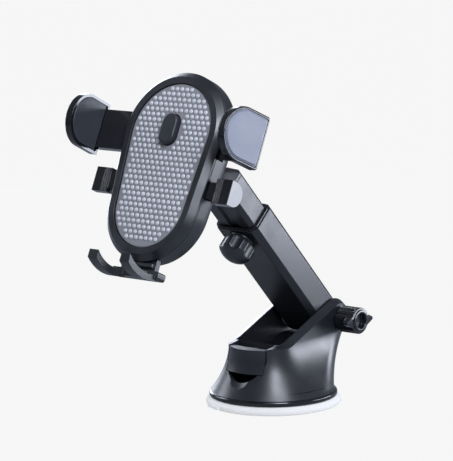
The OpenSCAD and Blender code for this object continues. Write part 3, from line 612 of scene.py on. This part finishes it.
def cheek_profile(drop):
    """Side outline of the housing in y and z, its top edge lowered by drop."""
    def slope_at(y):
        return SLOPE_Z - (SLOPE_Y - y) * tan(CHEEK_SLOPE) - drop

    r = BOSS_R - drop
    turn = [radians(90 + 23.3) - radians(113.3) * i / 24 for i in range(25)]
    boss = [(PIVOT_Y + r * cos(a), PIVOT_Z + r * sin(a)) for a in turn]
    dip = []
    bend = [Vector((-5.0, slope_at(-5))), Vector((-11.5, LEVER_TOP + 1.2 - drop))]
    bend.append(Vector((-22.0, LEVER_TOP + 0.1 - drop)))
    for i in range(9):
        t = i / 8
        dip.append(tuple(bend[0] * (1 - t) ** 2 + bend[1] * 2 * t * (1 - t) + bend[2] * t ** 2))
    return [(-GEL_R - 2, 0.0), (PIVOT_Y + r, 0.0)] + boss[::-1] + dip + [(-GEL_R - 2, LEVER_TOP - 0.2 - drop)]


ARM_ROOM = TUBE_D / 2 + 0.6
TRAY_T = 1.6
DECK_T = 1.4
TRAY_FRONT = LEVER_PIN.y / MM + 6.2
TRAY_LINE = [
    (TRAY_FRONT, LEVER_TOP - 2), (4.0, LEVER_TOP - 5), (PIVOT_Y - 17, LEVER_TOP - 4.2),
    (PIVOT_Y - 8, PIVOT_Z - ARM_ROOM - 0.2), (PIVOT_Y + 8, PIVOT_Z - ARM_ROOM - 0.2),
    (PIVOT_Y + 30, PIVOT_Z - ARM_ROOM + 4),
]


# ---------- stage ----------
CAMERA_AT = (0.94617, -1.14786, 0.33459)
CAMERA_AZIMUTH = radians(40.47)
CAMERA_ELEVATION = radians(9.02)
CAMERA_ROLL = radians(-0.81)
CAMERA_LENS = 213.5


def soft_light(name, at, towards, width, height, power, tint=0xFFFFFF):
    """A rectangular softbox at a place in metres, facing a point."""
    data = bpy.data.lights.new(name, "AREA")
    data.shape = "RECTANGLE"
    data.size, data.size_y = width, height
    data.energy = power
    data.color = linear(tint)
    made = bpy.data.objects.new(name, data)
    made.location = at
    made.rotation_mode = "QUATERNION"
    made.rotation_quaternion = (Vector(towards) - Vector(at)).to_track_quat("-Z", "Y")
    bpy.context.scene.collection.objects.link(made)


class MOUNT_OT_stage(bpy.types.Operator):
    """Camera, soft studio lights and a plain pale floor"""

    bl_idname = "phone_mount.stage"
    bl_label = "Stage"

    def execute(self, context):
        scene = context.scene
        data = bpy.data.cameras.new("camera")
        data.sensor_fit, data.sensor_width, data.lens = "HORIZONTAL", 36.0, CAMERA_LENS
        data.clip_start, data.clip_end = 0.05, 20.0
        camera = bpy.data.objects.new("camera", data)
        scene.collection.objects.link(camera)
        az, el = CAMERA_AZIMUTH, CAMERA_ELEVATION
        right = Vector((cos(az), sin(az), 0))
        ahead = Vector((-sin(az) * cos(el), cos(az) * cos(el), -sin(el)))
        top = right.cross(ahead)
        side = right * cos(CAMERA_ROLL) + top * sin(CAMERA_ROLL)
        over = top * cos(CAMERA_ROLL) - right * sin(CAMERA_ROLL)
        turn = Matrix((side, over, -ahead)).transposed().to_4x4()
        camera.matrix_world = Matrix.Translation(CAMERA_AT) @ turn
        scene.camera = camera
        scene.view_settings.view_transform = "Standard"

        world = bpy.data.worlds.new("studio")
        world.use_nodes = True
        tree = world.node_tree
        tree.nodes.clear()
        seen = add_node(tree, "ShaderNodeLightPath").outputs["Is Camera Ray"]
        walls = add_node(tree, "ShaderNodeBackground", {"Color": (*linear(0xDFE5EE), 1), "Strength": 0.22})
        sweep = add_node(tree, "ShaderNodeBackground", {"Color": (*linear(0xF7F7F7), 1), "Strength": 1.0})
        both = add_node(tree, "ShaderNodeMixShader", {0: seen, 1: walls.outputs[0], 2: sweep.outputs[0]})
        add_node(tree, "ShaderNodeOutputWorld", {"Surface": both.outputs[0]})
        scene.world = world

        middle = (0.0, -0.03, 0.1)
        cool = 0xE4EAF8
        soft_light("back_right_box", (0.42, 0.46, 0.07), (0.0, -0.02, 0.1), 0.5, 0.22, 4.2, cool)
        soft_light("right_box", (0.6, -0.42, 0.62), (0.0, 0.0, 0.04), 0.3, 0.5, 9.0, cool)
        soft_light("left_box", (-0.85, -0.2, 0.4), middle, 0.3, 0.5, 3.0, cool)
        soft_light("back_left_box", (-0.75, 0.45, 0.25), middle, 0.5, 0.7, 7.0, cool)
        soft_light("top_box", (0.3, -0.3, 0.85), middle, 0.5, 0.4, 2.2, cool)

        floor = mesh_object("floor", [(-4, -4, 0), (4, -4, 0), (4, 4, 0), (-4, 4, 0)], [[0, 1, 2, 3]],
                            Matrix.Identity(4))
        floor.data.materials.append(floor_paint())
        return {"FINISHED"}


def floor_paint():
    # Painted studio sweep: plain, pale and matt, lit from behind so that it stays even to the edges.
    made = bpy.data.materials.new("floor_paint")
    made.use_nodes = True
    tree = made.node_tree
    tree.nodes.clear()
    seen = add_node(tree, "ShaderNodeLightPath").outputs["Is Camera Ray"]
    dull = add_node(tree, "ShaderNodeBsdfDiffuse", {"Color": (*linear(0x9A9DA2), 1)})
    pale = add_node(tree, "ShaderNodeBsdfDiffuse", {"Color": (*linear(0x0C0C0C), 1)})
    glow = add_node(tree, "ShaderNodeEmission", {"Color": (*linear(0xF7F7F7), 1), "Strength": 0.99})
    lit = add_node(tree, "ShaderNodeAddShader", {0: pale.outputs[0], 1: glow.outputs[0]})
    both = add_node(tree, "ShaderNodeMixShader", {0: seen, 1: dull.outputs[0], 2: lit.outputs[0]})
    add_node(tree, "ShaderNodeOutputMaterial", {"Surface": both.outputs[0]})
    return made


# ---------- suction base ----------
class MOUNT_OT_gel_foot(bpy.types.Operator):
    """Clear gel foot with its peel tab"""

    bl_idname = "phone_mount.gel_foot"
    bl_label = "Gel foot"

    def execute(self, context):
        path = rounded_path(
            [(CORE_R, 0.0), (GEL_R - 0.7, 0.0), (GEL_R, 0.9), (GEL_R, GEL_H - 1.6),
             (GEL_R - 2.4, GEL_H), (CORE_R, GEL_H)],
            0.7,
        )
        foot = lathe("gel_foot_skin", path, n=160)
        tab = prism("tab", soften([(GEL_R - 2, -6), (GEL_R + 1.4, -6), (GEL_R + 1.4, 6), (GEL_R - 2, 6)],
                                  [0, 1.3, 1.3, 0]), 0.7, GEL_H - 2)
        tab.data.transform(Matrix.Rotation(radians(-112), 4, "Z"))
        combine(foot, [tab], "UNION")
        dress(foot, clear_gel())
        hand_over(foot, "gel_foot")
        return {"FINISHED"}


class MOUNT_OT_base_ring(bpy.types.Operator):
    """Polished ring between the gel and the housing"""

    bl_idname = "phone_mount.base_ring"
    bl_label = "Base ring"

    def execute(self, context):
        low = GEL_H + 0.2
        path = rounded_path(
            [(RING_R - 3, low), (RING_R - 0.5, low), (RING_R, low + 0.5), (RING_R, HOUSE_Z - 0.9),
             (RING_R - 0.9, HOUSE_Z), (RING_R - 3, HOUSE_Z)], 0.4,
        )
        ring = lathe("base_ring_skin", path, n=160, looped=True)
        dress(ring, polished_abs())
        hand_over(ring, "base_ring")
        return {"FINISHED"}


class MOUNT_OT_housing(bpy.types.Operator):
    """Base housing: flared foot, fork cheeks with a sloping top strip, lever window and finger scoop"""

    bl_idname = "phone_mount.housing"
    bl_label = "Housing"

    def execute(self, context):
        shell = house_body("base_housing_skin", 0, HOUSE_Z, PIVOT_Z + BOSS_R + 1)
        inner, outer = FORK_X + 0.7, CHEEK_X + 0.2
        fall = 2.6
        shoulder, far = 26, 60
        most = min(fall / (outer - inner) * (shoulder - inner), BOSS_R - 1)
        stations = [(far, most), (shoulder, most), (inner, 0), (-inner, 0), (-shoulder, most), (-far, most)]
        low_bell = loft(
            "bell", [[(x, y, z) for y, z in cheek_profile(d)] for x, d in stations]
        )
        combine(shell, [low_bell], "INTERSECT")
        floor = [(y, z - TRAY_T) for y, z in TRAY_LINE]
        room = across("room", floor + [(PIVOT_Y + 30, 90), (TRAY_FRONT, 90)], -FORK_X, FORK_X)
        cavity = house_body("cavity", -2.4, HOUSE_Z - 0.5, LEVER_TOP, 20, 96)
        low = [(y, z - TRAY_T - DECK_T) for y, z in TRAY_LINE[:5]]
        under = across(
            "under",
            [(-GEL_R, 0), (-GEL_R, LEVER_TOP - 2 - TRAY_T - DECK_T)] + low + [(PIVOT_Y + 8, 0)],
            -FORK_X, FORK_X,
        )
        combine(cavity, [under], "INTERSECT")
        foot_bore = lathe("bore", rod(HOUSE_R - 2.4, HOUSE_Z - 1, HOUSE_Z + 3.4), n=96)
        side = LEVER_W / 2 + 0.3
        window = prism("window", oblong(-side, side, -GEL_R, TRAY_FRONT - 0.01), LIP_Z - 0.3, 60)
        scoop = lathe("scoop", globe(SCOOP_R, 40), n=96)
        scoop.data.transform(Matrix.Translation(Vector((0, -44.6, 28.2)) * MM))
        hole = lathe("hole", rod(14, 0, 16), n=96)
        hole_at = Matrix.Translation(Vector((0, -GEL_R, LIP_Z + 8.8)) * MM)
        hole.data.transform(hole_at @ Matrix.Rotation(radians(-90), 4, "X"))
        nut_seat = lathe("seat", rod(6.6, -CHEEK_X - 1, -CHEEK_X + 1.8), AT_PIVOT @ X_UP, 64)
        bolt = lathe("bolt", rod(4.05, -CHEEK_X - 1, CHEEK_X + 1), AT_PIVOT @ X_UP, 64)
        combine(shell, [room, cavity, foot_bore, window, scoop, hole, nut_seat, bolt], "DIFFERENCE")
        clean(shell, 0.05)
        dress(shell, satin_abs(), sizes().edge, 40)
        hand_over(shell, "base_housing")
        return {"FINISHED"}


class MOUNT_OT_lever(bpy.types.Operator):
    """Lock lever, flush with the front of the housing"""

    bl_idname = "phone_mount.lever"
    bl_label = "Lock lever"

    def execute(self, context):
        side = LEVER_W / 2
        y, z = LEVER_PIN.y / MM, LEVER_PIN.z / MM
        plate = house_body("lock_lever_skin", -0.1, HOUSE_Z + 6, LEVER_TOP + 1, 30)
        barrel = [(y + 5.6 * cos(a), z + 5.6 * sin(a)) for a in [radians(90 - 150 * i / 20) for i in range(21)]]
        outline = [(-GEL_R, LEVER_TOP - 0.6), (-GEL_R, LIP_Z), (y - 3.4, LIP_Z)]
        outline += barrel[::-1]
        block = across("block", outline, -side, side)
        combine(plate, [block], "INTERSECT")
        clean(plate, 0.05)
        dress(plate, satin_abs(), 0.9 * MM, 35, 4)
        hand_over(plate, "lock_lever")
        return {"FINISHED"}


# ---------- telescopic arm ----------
class MOUNT_OT_arm(bpy.types.Operator):
    """Outer tube with its round pivot end, mouth lip, inner tube, end cap and ball"""

    bl_idname = "phone_mount.arm"
    bl_label = "Telescopic arm"

    def execute(self, context):
        h, r, c = TUBE_W / 2, TUBE_D / 2, TUBE_C
        columns = [(-h, r - c), (c - h, r), (h - c, r), (h, r - c)]
        path = [(TUBE_LEN, 1.0, 0.0)] + [
            (None, cos(pi * i / 32), -sin(pi * i / 32)) for i in range(33)
        ] + [(TUBE_LEN, -1.0, 0.0)]
        points = [
            (x, q * c1, s if s is not None else q * c2) for s, c1, c2 in path for x, q in columns
        ]
        n, rows = 4, len(path)
        faces = [
            [j * n + i, j * n + i + 1, (j + 1) * n + i + 1, (j + 1) * n + i]
            for j in range(rows - 1) for i in range(3)
        ]
        faces += [[j * n for j in range(rows)], [j * n + 3 for j in range(rows)][::-1]]
        faces += [[0, 1, 2, 3] + [(rows - 1) * n + i for i in (3, 2, 1, 0)]]
        tube = mesh_object("outer_tube_skin", points, faces, AT_ARM)
        cw, cd = INNER_HIGH.x * 2 + 1.3, INNER_HIGH.y * 2 + 1.1
        bore = prism("bore", tube_outline(cw, cd, INNER_C + 0.4), 14, TUBE_LEN + 1, AT_ARM)
        eye = lathe("eye", rod(6.4, -h - 1, h + 1), AT_PIVOT @ X_UP, 64)
        boss = lathe("boss", [(CORE_R, 0), (7.2, 0), (7.2, 1.2), (6.7, 1.7), (CORE_R, 1.7)],
                     AT_ARM @ Matrix.Translation((0, -r + 0.5, KNOB_S)) @ Matrix.Rotation(radians(90), 4, "X"), 64)
        combine(tube, [boss], "UNION")
        combine(tube, [bore, eye], "DIFFERENCE")
        clean(tube, 0.2)
        dress(tube, satin_abs(), sizes().edge, 28)
        hand_over(tube, "outer_tube")
        refine("mouth_liner", polished_abs(), sizes().fine_edge)
        refine("inner_tube", satin_abs(), sizes().edge, 28)
        refine("arm_end_cap", satin_abs(), sizes().fine_edge, 20)

        neck_r = 3.4
        ball = [(CORE_R, 115.4), (neck_r, 115.4)]
        start = asin(neck_r / BALL_R)
        turn = [start + (pi - start) * i / 48 for i in range(48)]
        ball += [(BALL_R * sin(a), BALL_S - BALL_R * cos(a)) for a in turn]
        ball += [(CORE_R, BALL_S + BALL_R)]
        stud = lathe("ball_stud_skin", ball, AT_ARM, 96)
        dress(stud, plated_steel())
        hand_over(stud, "ball_stud")
        return {"FINISHED"}


class MOUNT_OT_knobs(bpy.types.Operator):
    """Scalloped tension knob under the arm and winged pivot knob beside the fork"""

    bl_idname = "phone_mount.knobs"
    bl_label = "Knobs"

    def execute(self, context):
        count = sizes().knob_scallops
        top, tall, knob_r, dome = -TUBE_D / 2 - 1.4, 12.0, 9.5, 12.6

        def scallop(a, r, z):
            step = 2 * pi / count
            b = (a + step / 2) % step - step / 2
            reach = knob_r + 4.2
            inside = 5.6 ** 2 - (reach * sin(b)) ** 2
            edge = reach * cos(b) - sqrt(inside) if inside > 0 else knob_r
            return min(r, edge)

        rim = [(CORE_R, 0.0), (7.0, 0.0), (8.6, 0.5), (9.3, 1.4)]
        for i in range(15):
            z = 2.2 + (tall - 2.2) * i / 14
            rim.append((min(knob_r, sqrt(max(0.0, dome ** 2 - (z - tall + dome) ** 2))), z))
        rim = rim[:-1] + [(2.4, tall - 0.25), (CORE_R, tall - 0.25)]
        at_knob = AT_ARM @ Matrix.Translation((0, top, KNOB_S)) @ Matrix.Rotation(radians(90), 4, "X")
        knob = lathe("tension_knob_skin", rim, at_knob, 144, scallop)
        dress(knob, satin_abs(), sizes().edge, 30)
        hand_over(knob, "tension_knob")

        x0 = CHEEK_X + 0.4
        x1 = x0 + 15

        def fluted(a, r, x):
            if r < 6.4:
                return r
            flutes = [30, 60, 120, 150, 210, 240, 300, 330]
            near = min(abs((degrees(a) - f + 180) % 360 - 180) for f in flutes)
            cut = 0.6 * max(0.0, cos(min(90.0, near * 9) * pi / 180)) if x < x1 - 2.2 else 0.0
            body = r - cut
            grow = min(1.0, max(0.0, (x - x0 - 6.6) / 4.2))
            grow = grow * grow * (3 - 2 * grow)
            off = radians(abs(degrees(a) % 180 - 90))
            wing = 0.0
            if off < radians(42):
                c, s = cos(off), sin(off)
                wing = min(11.7 / max(c, 0.2), (10.4 + 1.3 * 1.86) / (c + 1.86 * s))
                wing = min(wing, 11.7)
            return max(body, r + (wing - r) * grow) if wing > r and r > 7 else body

        stations = [(CORE_R, x0), (6.0, x0), (6.6, x0 + 0.4), (6.6, x0 + 1.4), (7.5, x0 + 1.9)]
        stations += [(7.5, x0 + 1.9 + (x1 - x0 - 3.1) * i / 20) for i in range(1, 21)]
        stations += [(7.2, x1 - 0.9), (6.4, x1 - 0.8), (6.3, x1 - 0.2), (6.0, x1)]
        stations += [(4.7, x1), (4.4, x1 - 0.3), (4.4, x1 - 3), (CORE_R, x1 - 3)]
        wing_knob = lathe("pivot_knob_skin", stations, AT_PIVOT @ X_UP, 180, fluted)
        dress(wing_knob, polished_abs(), sizes().fine_edge, 35)
        hand_over(wing_knob, "pivot_knob")
        return {"FINISHED"}


# ---------- clamp head ----------
class MOUNT_OT_shells(bpy.types.Operator):
    """Front shell with its flat rim and sloping band, and the rounded rear shell with the ball socket"""

    bl_idname = "phone_mount.shells"
    bl_label = "Head shells"

    def execute(self, context):
        path = rounded_path(
            [(-1.0, FLOOR_T), (0.0, FLOOR_T), (0.0, 0.0), (RIM_W + 0.2, 0.0), (OUT_ADD, BAND_D),
             (OUT_ADD, PART_T - 0.15), (OUT_ADD - 0.5, PART_T), (2.0, PART_T), (2.0, FLOOR_T + 1.6),
             (0.0, FLOOR_T + 1.6)], 0.22,
        )
        front = loft("front_shell_skin", head_rings(path), AT_HEAD)
        hole = prism("hole", stadium(10.5, 17.5, (0, 18)), -PART_T - 1, 1, AT_HEAD)
        combine(front, [hole], "DIFFERENCE")
        clean(front, 0.02)
        dress(front, satin_abs())
        hand_over(front, "front_shell")

        def back(t):
            k = max(0.0, (t - (HEAD_T - 6.6)) / 6.6)
            return OUT_ADD - 5 * (1 - sqrt(1 - k * k * 0.96))

        inside = HEAD_T - 2
        outer = [(OUT_ADD - 0.5, PART_T + 0.02), (OUT_ADD - 0.1, PART_T + 0.35), (OUT_ADD, PART_T + 1.0)]
        outer += [(back(t), t) for t in [6.4 + (HEAD_T - 6.4) * sin(pi / 2 * i / 22) for i in range(23)]]
        depths = [inside - (inside - PART_T) * i / 12 for i in range(13)]
        skin = [(-14.0, inside)] + [(back(t) - 2, t) for t in depths]
        rear = loft("rear_shell_skin", head_rings(skin + outer), AT_HEAD)
        socket = lathe("socket", rod(13.2, -1, BALL_DEPTH - HEAD_T + 2), AT_BALL, 96)
        socket.data.transform(AT_BALL @ Matrix.Translation((0, 0, 2)) @ AT_BALL.inverted())
        bosses = [socket]
        for x, y in SCREWS:
            bosses.append(lathe("post", rod(3.2, 1 - HEAD_T, -PART_T - 0.2),
                                AT_HEAD @ Matrix.Translation((x, y, 0)), 32))
        combine(rear, bosses, "UNION")
        reach = BALL_R + 4.0
        bowl = lathe("bowl", globe(reach, 32), AT_BALL, 96)
        cuts = [bowl]
        for s in (-1, 1):
            arm_slot = oblong(s * 32 - 13, s * 32 + 13, GEAR_U - 11.3, GEAR_U + 11.3)
            button_slot = oblong(s * 32 - 6, s * 32 + 6, BUTTON_U - 4.9, BUTTON_U + 4.9)
            cuts.append(prism("slot", arm_slot, -9.9, -PART_T + 1, AT_HEAD))
            cuts.append(prism("slot", button_slot, -10.9, -PART_T + 1, AT_HEAD))
        low = LOBE_LOW_U - LOBE_LOW - OUT_ADD
        foot_slot = oblong(-12.3, 12.3, low - 8, low + 8)
        cuts.append(prism("slot", foot_slot, -8.8, -PART_T + 1, AT_HEAD))
        well = [(CORE_R, -HEAD_T - 1), (2.5, -HEAD_T - 1), (2.5, 2.2 - HEAD_T)]
        well += [(1.15, 2.2 - HEAD_T), (1.15, -PART_T + 1), (CORE_R, -PART_T + 1)]
        for x, y in SCREWS:
            cuts.append(lathe("well", well, AT_HEAD @ Matrix.Translation((x, y, 0)), 48))
        combine(rear, cuts, "DIFFERENCE")
        clean(rear, 0.02)
        dress(rear, satin_abs(), sizes().fine_edge, 40)
        hand_over(rear, "rear_shell")
        return {"FINISHED"}


def dome_tree(pad_material, dome_highlight_material):
    """Geometry Nodes: a round dome at every loose point, on the pad that holds the points."""
    tree = bpy.data.node_groups.new("dome_field", "GeometryNodeTree")
    face = tree.interface
    face.new_socket("Geometry", in_out="INPUT", socket_type="NodeSocketGeometry")
    radius = face.new_socket("Dome radius", in_out="INPUT", socket_type="NodeSocketFloat")
    height = face.new_socket("Dome height", in_out="INPUT", socket_type="NodeSocketFloat")
    face.new_socket("Geometry", in_out="OUTPUT", socket_type="NodeSocketGeometry")
    given = add_node(tree, "NodeGroupInput")
    lone = add_node(tree, "GeometryNodeInputMeshVertexNeighbors")
    is_lone = add_node(
        tree, "FunctionNodeCompare", {2: lone.outputs["Face Count"], 3: 0},
        data_type="INT", operation="EQUAL",
    )
    chosen = {"Geometry": given.outputs[0], "Selection": is_lone.outputs[0]}
    split = add_node(tree, "GeometryNodeSeparateGeometry", chosen, domain="POINT")
    ball = add_node(tree, "GeometryNodeMeshUVSphere", {"Segments": 14, "Rings": 8, "Radius": given.outputs[1]})
    ratio = add_node(tree, "ShaderNodeMath", {0: given.outputs[2], 1: given.outputs[1]}, operation="DIVIDE")
    flat = add_node(tree, "ShaderNodeCombineXYZ", {"X": 1.0, "Y": 1.0, "Z": ratio.outputs[0]})
    squat = add_node(tree, "GeometryNodeTransform", {"Geometry": ball.outputs[0], "Scale": flat.outputs[0]})
    lean = AT_HEAD.to_3x3().normalized().to_euler()
    spread = add_node(
        tree, "GeometryNodeInstanceOnPoints",
        {"Points": split.outputs[0], "Instance": squat.outputs[0], "Rotation": lean},
    )
    real = add_node(tree, "GeometryNodeRealizeInstances", {0: spread.outputs[0]})
    smooth = add_node(tree, "GeometryNodeSetShadeSmooth", {0: real.outputs[0]})
    # The domes take the pale material whose colour is a painted highlight
    domes = add_node(tree, "GeometryNodeSetMaterial", {"Geometry": smooth.outputs[0], "Material": dome_highlight_material})
    base = add_node(tree, "GeometryNodeSetMaterial", {"Geometry": split.outputs[1], "Material": pad_material})
    joined = add_node(tree, "GeometryNodeJoinGeometry")
    tree.links.new(domes.outputs[0], joined.inputs[0])
    tree.links.new(base.outputs[0], joined.inputs[0])
    add_node(tree, "NodeGroupOutput", {0: joined.outputs[0]})
    return tree, radius.identifier, height.identifier


class MOUNT_OT_pad(bpy.types.Operator):
    """Rubber pad with rows of domes, and the trigger tab that stands out of it"""

    bl_idname = "phone_mount.pad"
    bl_label = "Grip pad"

    def execute(self, context):
        top, low = -PAD_DROP, -FLOOR_T
        profile = [(-0.9, PAD_DROP + 0.02), (-0.45, PAD_DROP + 0.08), (-0.2, PAD_DROP + 0.4), (-0.2, FLOOR_T)]
        pad = loft("grip_pad_skin", head_rings(profile), AT_HEAD)
        combine(pad, [prism("hole", stadium(11, 18, (0, 18)), low - 1, top + 1, AT_HEAD)], "DIFFERENCE")
        clean(pad, 0.02)
        dress(pad, pad_rubber(), sizes().fine_edge, 40)
        pitch = sizes().dome_pitch / MM
        row = pitch * sqrt(3) / 2
        seats = []
        for j in range(-20, 20):
            for i in range(-12, 13):
                x, y = (i + (j % 2) / 2) * pitch, LOBE_TOP_U + j * row
                if self.inside(x, y, 2.1) and not self.inside_tab(x, y):
                    seats.append(AT_HEAD @ Vector((x, y, top)))
        field = bmesh.new()
        field.from_mesh(pad.data)
        for seat in seats:
            field.verts.new(seat)
        field.to_mesh(pad.data)
        field.free()
        tree, radius, height = dome_tree(pad_rubber(), dome_highlight_rubber())
        grow = pad.modifiers.new("domes", "NODES")
        grow.node_group = tree
        grow[radius] = sizes().dome_radius
        grow[height] = sizes().dome_height
        settle(pad)
        hand_over(pad, "grip_pad")

        tab = loft("trigger_tab_skin", [
            [(x, y, z) for x, y in stadium(10 - 2 * d, 17 - 2 * d, (0, 18))]
            for d, z in [(0.0, -3.8), (0.0, 1.7), (0.1, 2.1), (0.35, 2.4), (0.8, 2.58), (1.4, 2.6)]
        ], AT_HEAD)
        rim = soften(oblong(-6.5, 6.5, 8, 28), 3)
        flange = prism("flange", rim, -FLOOR_T - 2.6, -FLOOR_T - 1.8, AT_HEAD)
        combine(tab, [flange], "UNION")
        dress(tab, smooth_cap(), None, 40)
        hand_over(tab, "trigger_tab")
        return {"FINISHED"}

    def inside(self, x, y, margin):
        """Whether a point lies on the pad, at least margin from its edge."""
        span = LOBE_TOP_U - LOBE_LOW_U
        t = min(1.0, max(0.0, (LOBE_TOP_U - y) / span))
        r = LOBE_TOP + (LOBE_LOW - LOBE_TOP) * t
        return hypot(x, y - (LOBE_TOP_U - span * t)) < r - margin

    def inside_tab(self, x, y):
        """Whether a dome at this point would meet the trigger's opening."""
        near = min(21.5, max(14.5, y))
        return hypot(x, y - near) < 7.0


class MOUNT_OT_ball_nut(bpy.types.Operator):
    """Ribbed nut that clamps the ball"""

    bl_idname = "phone_mount.ball_nut"
    bl_label = "Ball nut"

    def execute(self, context):
        count = sizes().nut_ribs
        nut_in, nut_out, lip = 12.65, 15.05, 7.6
        front = BALL_DEPTH - HEAD_T - 0.6

        def rib(a, r, z):
            if r < nut_in + 0.5 or z < -5.2:
                return r
            step = 2 * pi / count
            b = abs((a + step / 2) % step - step / 2)
            swell = max(0.0, 1 - (b / radians(6.2)) ** 2)
            return r + 0.85 * sqrt(swell) * min(1.0, (z + 5.2) / 1.2, (front - z) / 0.5 + 0.3)

        profile = [(nut_in, front), (nut_out - 0.5, front), (nut_out - 0.1, front - 0.2), (nut_out, front - 0.6)]
        profile += [(nut_out, front - 0.6 - (front + 4.0) * i / 16) for i in range(1, 17)]
        profile += [(nut_out - 0.1, -5.0), (nut_out - 0.5, -5.7), (nut_out - 1.1, -6.0)]
        profile += [(lip + 2.4, -6.0), (lip + 1.8, -5.7), (lip, -4.07)]
        nut = lathe("ball_nut_skin", profile + [(nut_in, -1.2)], AT_BALL, 240, rib, looped=True)
        dress(nut, satin_abs(), None, 35)
        hand_over(nut, "ball_nut")
        return {"FINISHED"}


def jaw_outline(add, n=28):
    """Jaw plate: a half circle towards the screen and a straight back edge with small corners."""
    r = JAW_H / 2 + add
    back = JAW_H / 2 - JAW_DEPTH - add
    turn = [(r * cos(-pi / 2 + pi * i / n), r * sin(-pi / 2 + pi * i / n)) for i in range(n + 1)]
    corner = 1.6
    low = [(back + corner * (1 - sin(pi / 2 * i / 5)), -r + corner * (1 - cos(pi / 2 * i / 5))) for i in range(6)]
    return turn + [(x, -y) for x, y in low] + low[::-1]


def plate(name, steps, at):
    """A plate through jaw outlines, given as pairs of offset and height."""
    return loft(name, [[(x, y, z) for x, y in jaw_outline(add)] for add, z in steps], at)


class MOUNT_OT_jaws(bpy.types.Operator):
    """Two clamp arms with their D-shaped jaws, soft inner pads and smooth outer caps"""

    bl_idname = "phone_mount.jaws"
    bl_label = "Jaws"

    def execute(self, context):
        for side in ("right", "left"):
            flip = MIRROR if side == "left" else Matrix.Identity(4)
            at = flip @ AT_JAW
            back = JAW_H / 2 - JAW_DEPTH
            tongue = back + (JAW_BACK - ARM_T) / cos(radians(JAW_TOE))
            beam = bpy.data.objects.new("beam", frame["nodes"][side + "_clamp_arm"].data.copy())
            context.scene.collection.objects.link(beam)
            beyond = [(back - 45, -JAW_H), (JAW_DEPTH, -JAW_H), (JAW_DEPTH, JAW_H), (back - 45, JAW_H)]
            combine(beam, [prism("beyond", beyond, 0.02, 20, at)], "DIFFERENCE")
            half = ARM_H / 2
            stub = [(back + 0.1, -half), (tongue, -half), (tongue, half), (back + 0.1, half)]
            clean(beam)
            dress(beam, polished_abs(), sizes().fine_edge, 30)
            arm = plate(side + "_clamp_arm_skin", [
                (-1.5, 0.9), (-1.5, 0.12), (-1.38, 0.0), (-0.6, 0.0), (-0.22, 0.1), (-0.05, 0.3), (0.0, 0.6),
                (0.0, JAW_T - 0.7), (-0.05, JAW_T - 0.35), (-0.22, JAW_T - 0.1), (-0.55, JAW_T), (-1.1, JAW_T),
                (-1.24, JAW_T - 0.05), (-1.3, JAW_T - 0.2), (-1.3, JAW_T - 0.7),
            ], at)
            combine(arm, [prism("stub", stub, -0.3, 1.2, at), beam], "UNION")
            dress(arm, polished_abs(), None, 35)
            hand_over(arm, side + "_clamp_arm")
            pad = plate(side + "_jaw_pad_skin", [(-1.75, 0.85), (-1.75, -0.05), (-1.95, -0.35), (-2.5, -0.48)], at)
            front = [(tongue + 0.5, -JAW_H), (JAW_DEPTH, -JAW_H), (JAW_DEPTH, JAW_H), (tongue + 0.5, JAW_H)]
            combine(pad, [prism("front", front, -2, 2, at)], "INTERSECT")
            dress(pad, silicone())
            hand_over(pad, side + "_jaw_pad")
            cap = plate(side + "_jaw_cap_skin", [
                (-1.55, JAW_T - 0.65), (-1.55, JAW_T + 0.05), (-2.0, JAW_T + 0.12),
                (-2.1, JAW_T + 0.5), (-2.4, JAW_T + 0.74), (-3.0, JAW_T + 0.8),
            ], at)
            dress(cap, jaw_lacquer())
            hand_over(cap, side + "_jaw_cap")
        return {"FINISHED"}


class MOUNT_OT_buttons(bpy.types.Operator):
    """Side buttons and the sliding foot with its grip pads"""

    bl_idname = "phone_mount.buttons"
    bl_label = "Buttons and foot"

    def execute(self, context):
        for side in ("right", "left"):
            refine(side + "_button", polished_abs(), sizes().edge, 30)
        refine("foot", satin_abs(), sizes().edge, 30)
        refine("toe_pads", silicone(), sizes().fine_edge, 30)
        refine("tray_liner", polished_abs(), sizes().fine_edge, 30)
        return {"FINISHED"}


class MOUNT_OT_hardware(bpy.types.Operator):
    """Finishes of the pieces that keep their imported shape: screws, springs, gear, pins and bushes"""

    bl_idname = "phone_mount.hardware"
    bl_label = "Hardware"

    def execute(self, context):
        for name, piece in frame["nodes"].items():
            finish = FINISH[SLOT_OF[name]]
            material = spring_steel() if name.endswith("spring") else finish()
            piece.data.materials.clear()
            piece.data.materials.append(material)
        return {"FINISHED"}


class MOUNT_PT_panel(bpy.types.Panel):
    """Sizes, colours and pieces of the phone mount"""

    bl_label = "Phone mount"
    bl_space_type = "VIEW_3D"
    bl_region_type = "UI"
    bl_category = "Phone mount"

    def draw(self, context):
        for group in (context.scene.mount_sizes, context.scene.mount_colours):
            box = self.layout.box()
            for key in group.bl_rna.properties.keys():
                if key not in ("rna_type", "name"):
                    box.prop(group, key)
        for step in STEPS:
            self.layout.operator(step.bl_idname)


STEPS = (
    MOUNT_OT_stage, MOUNT_OT_hardware, MOUNT_OT_gel_foot, MOUNT_OT_base_ring, MOUNT_OT_housing, MOUNT_OT_lever,
    MOUNT_OT_arm, MOUNT_OT_knobs, MOUNT_OT_shells, MOUNT_OT_pad, MOUNT_OT_ball_nut, MOUNT_OT_jaws, MOUNT_OT_buttons,
)
CLASSES = (MountSizes, MountColours, *STEPS, MOUNT_PT_panel)


def register():
    for item in CLASSES:
        bpy.utils.register_class(item)
    bpy.types.Scene.mount_sizes = bpy.props.PointerProperty(type=MountSizes)
    bpy.types.Scene.mount_colours = bpy.props.PointerProperty(type=MountColours)


def unregister():
    del bpy.types.Scene.mount_colours
    del bpy.types.Scene.mount_sizes
    for item in reversed(CLASSES):
        bpy.utils.unregister_class(item)


def main():
    register()
    for step in STEPS:
        getattr(bpy.ops.phone_mount, step.bl_idname.split(".")[1])()


if __name__ == "__main__":
    main()
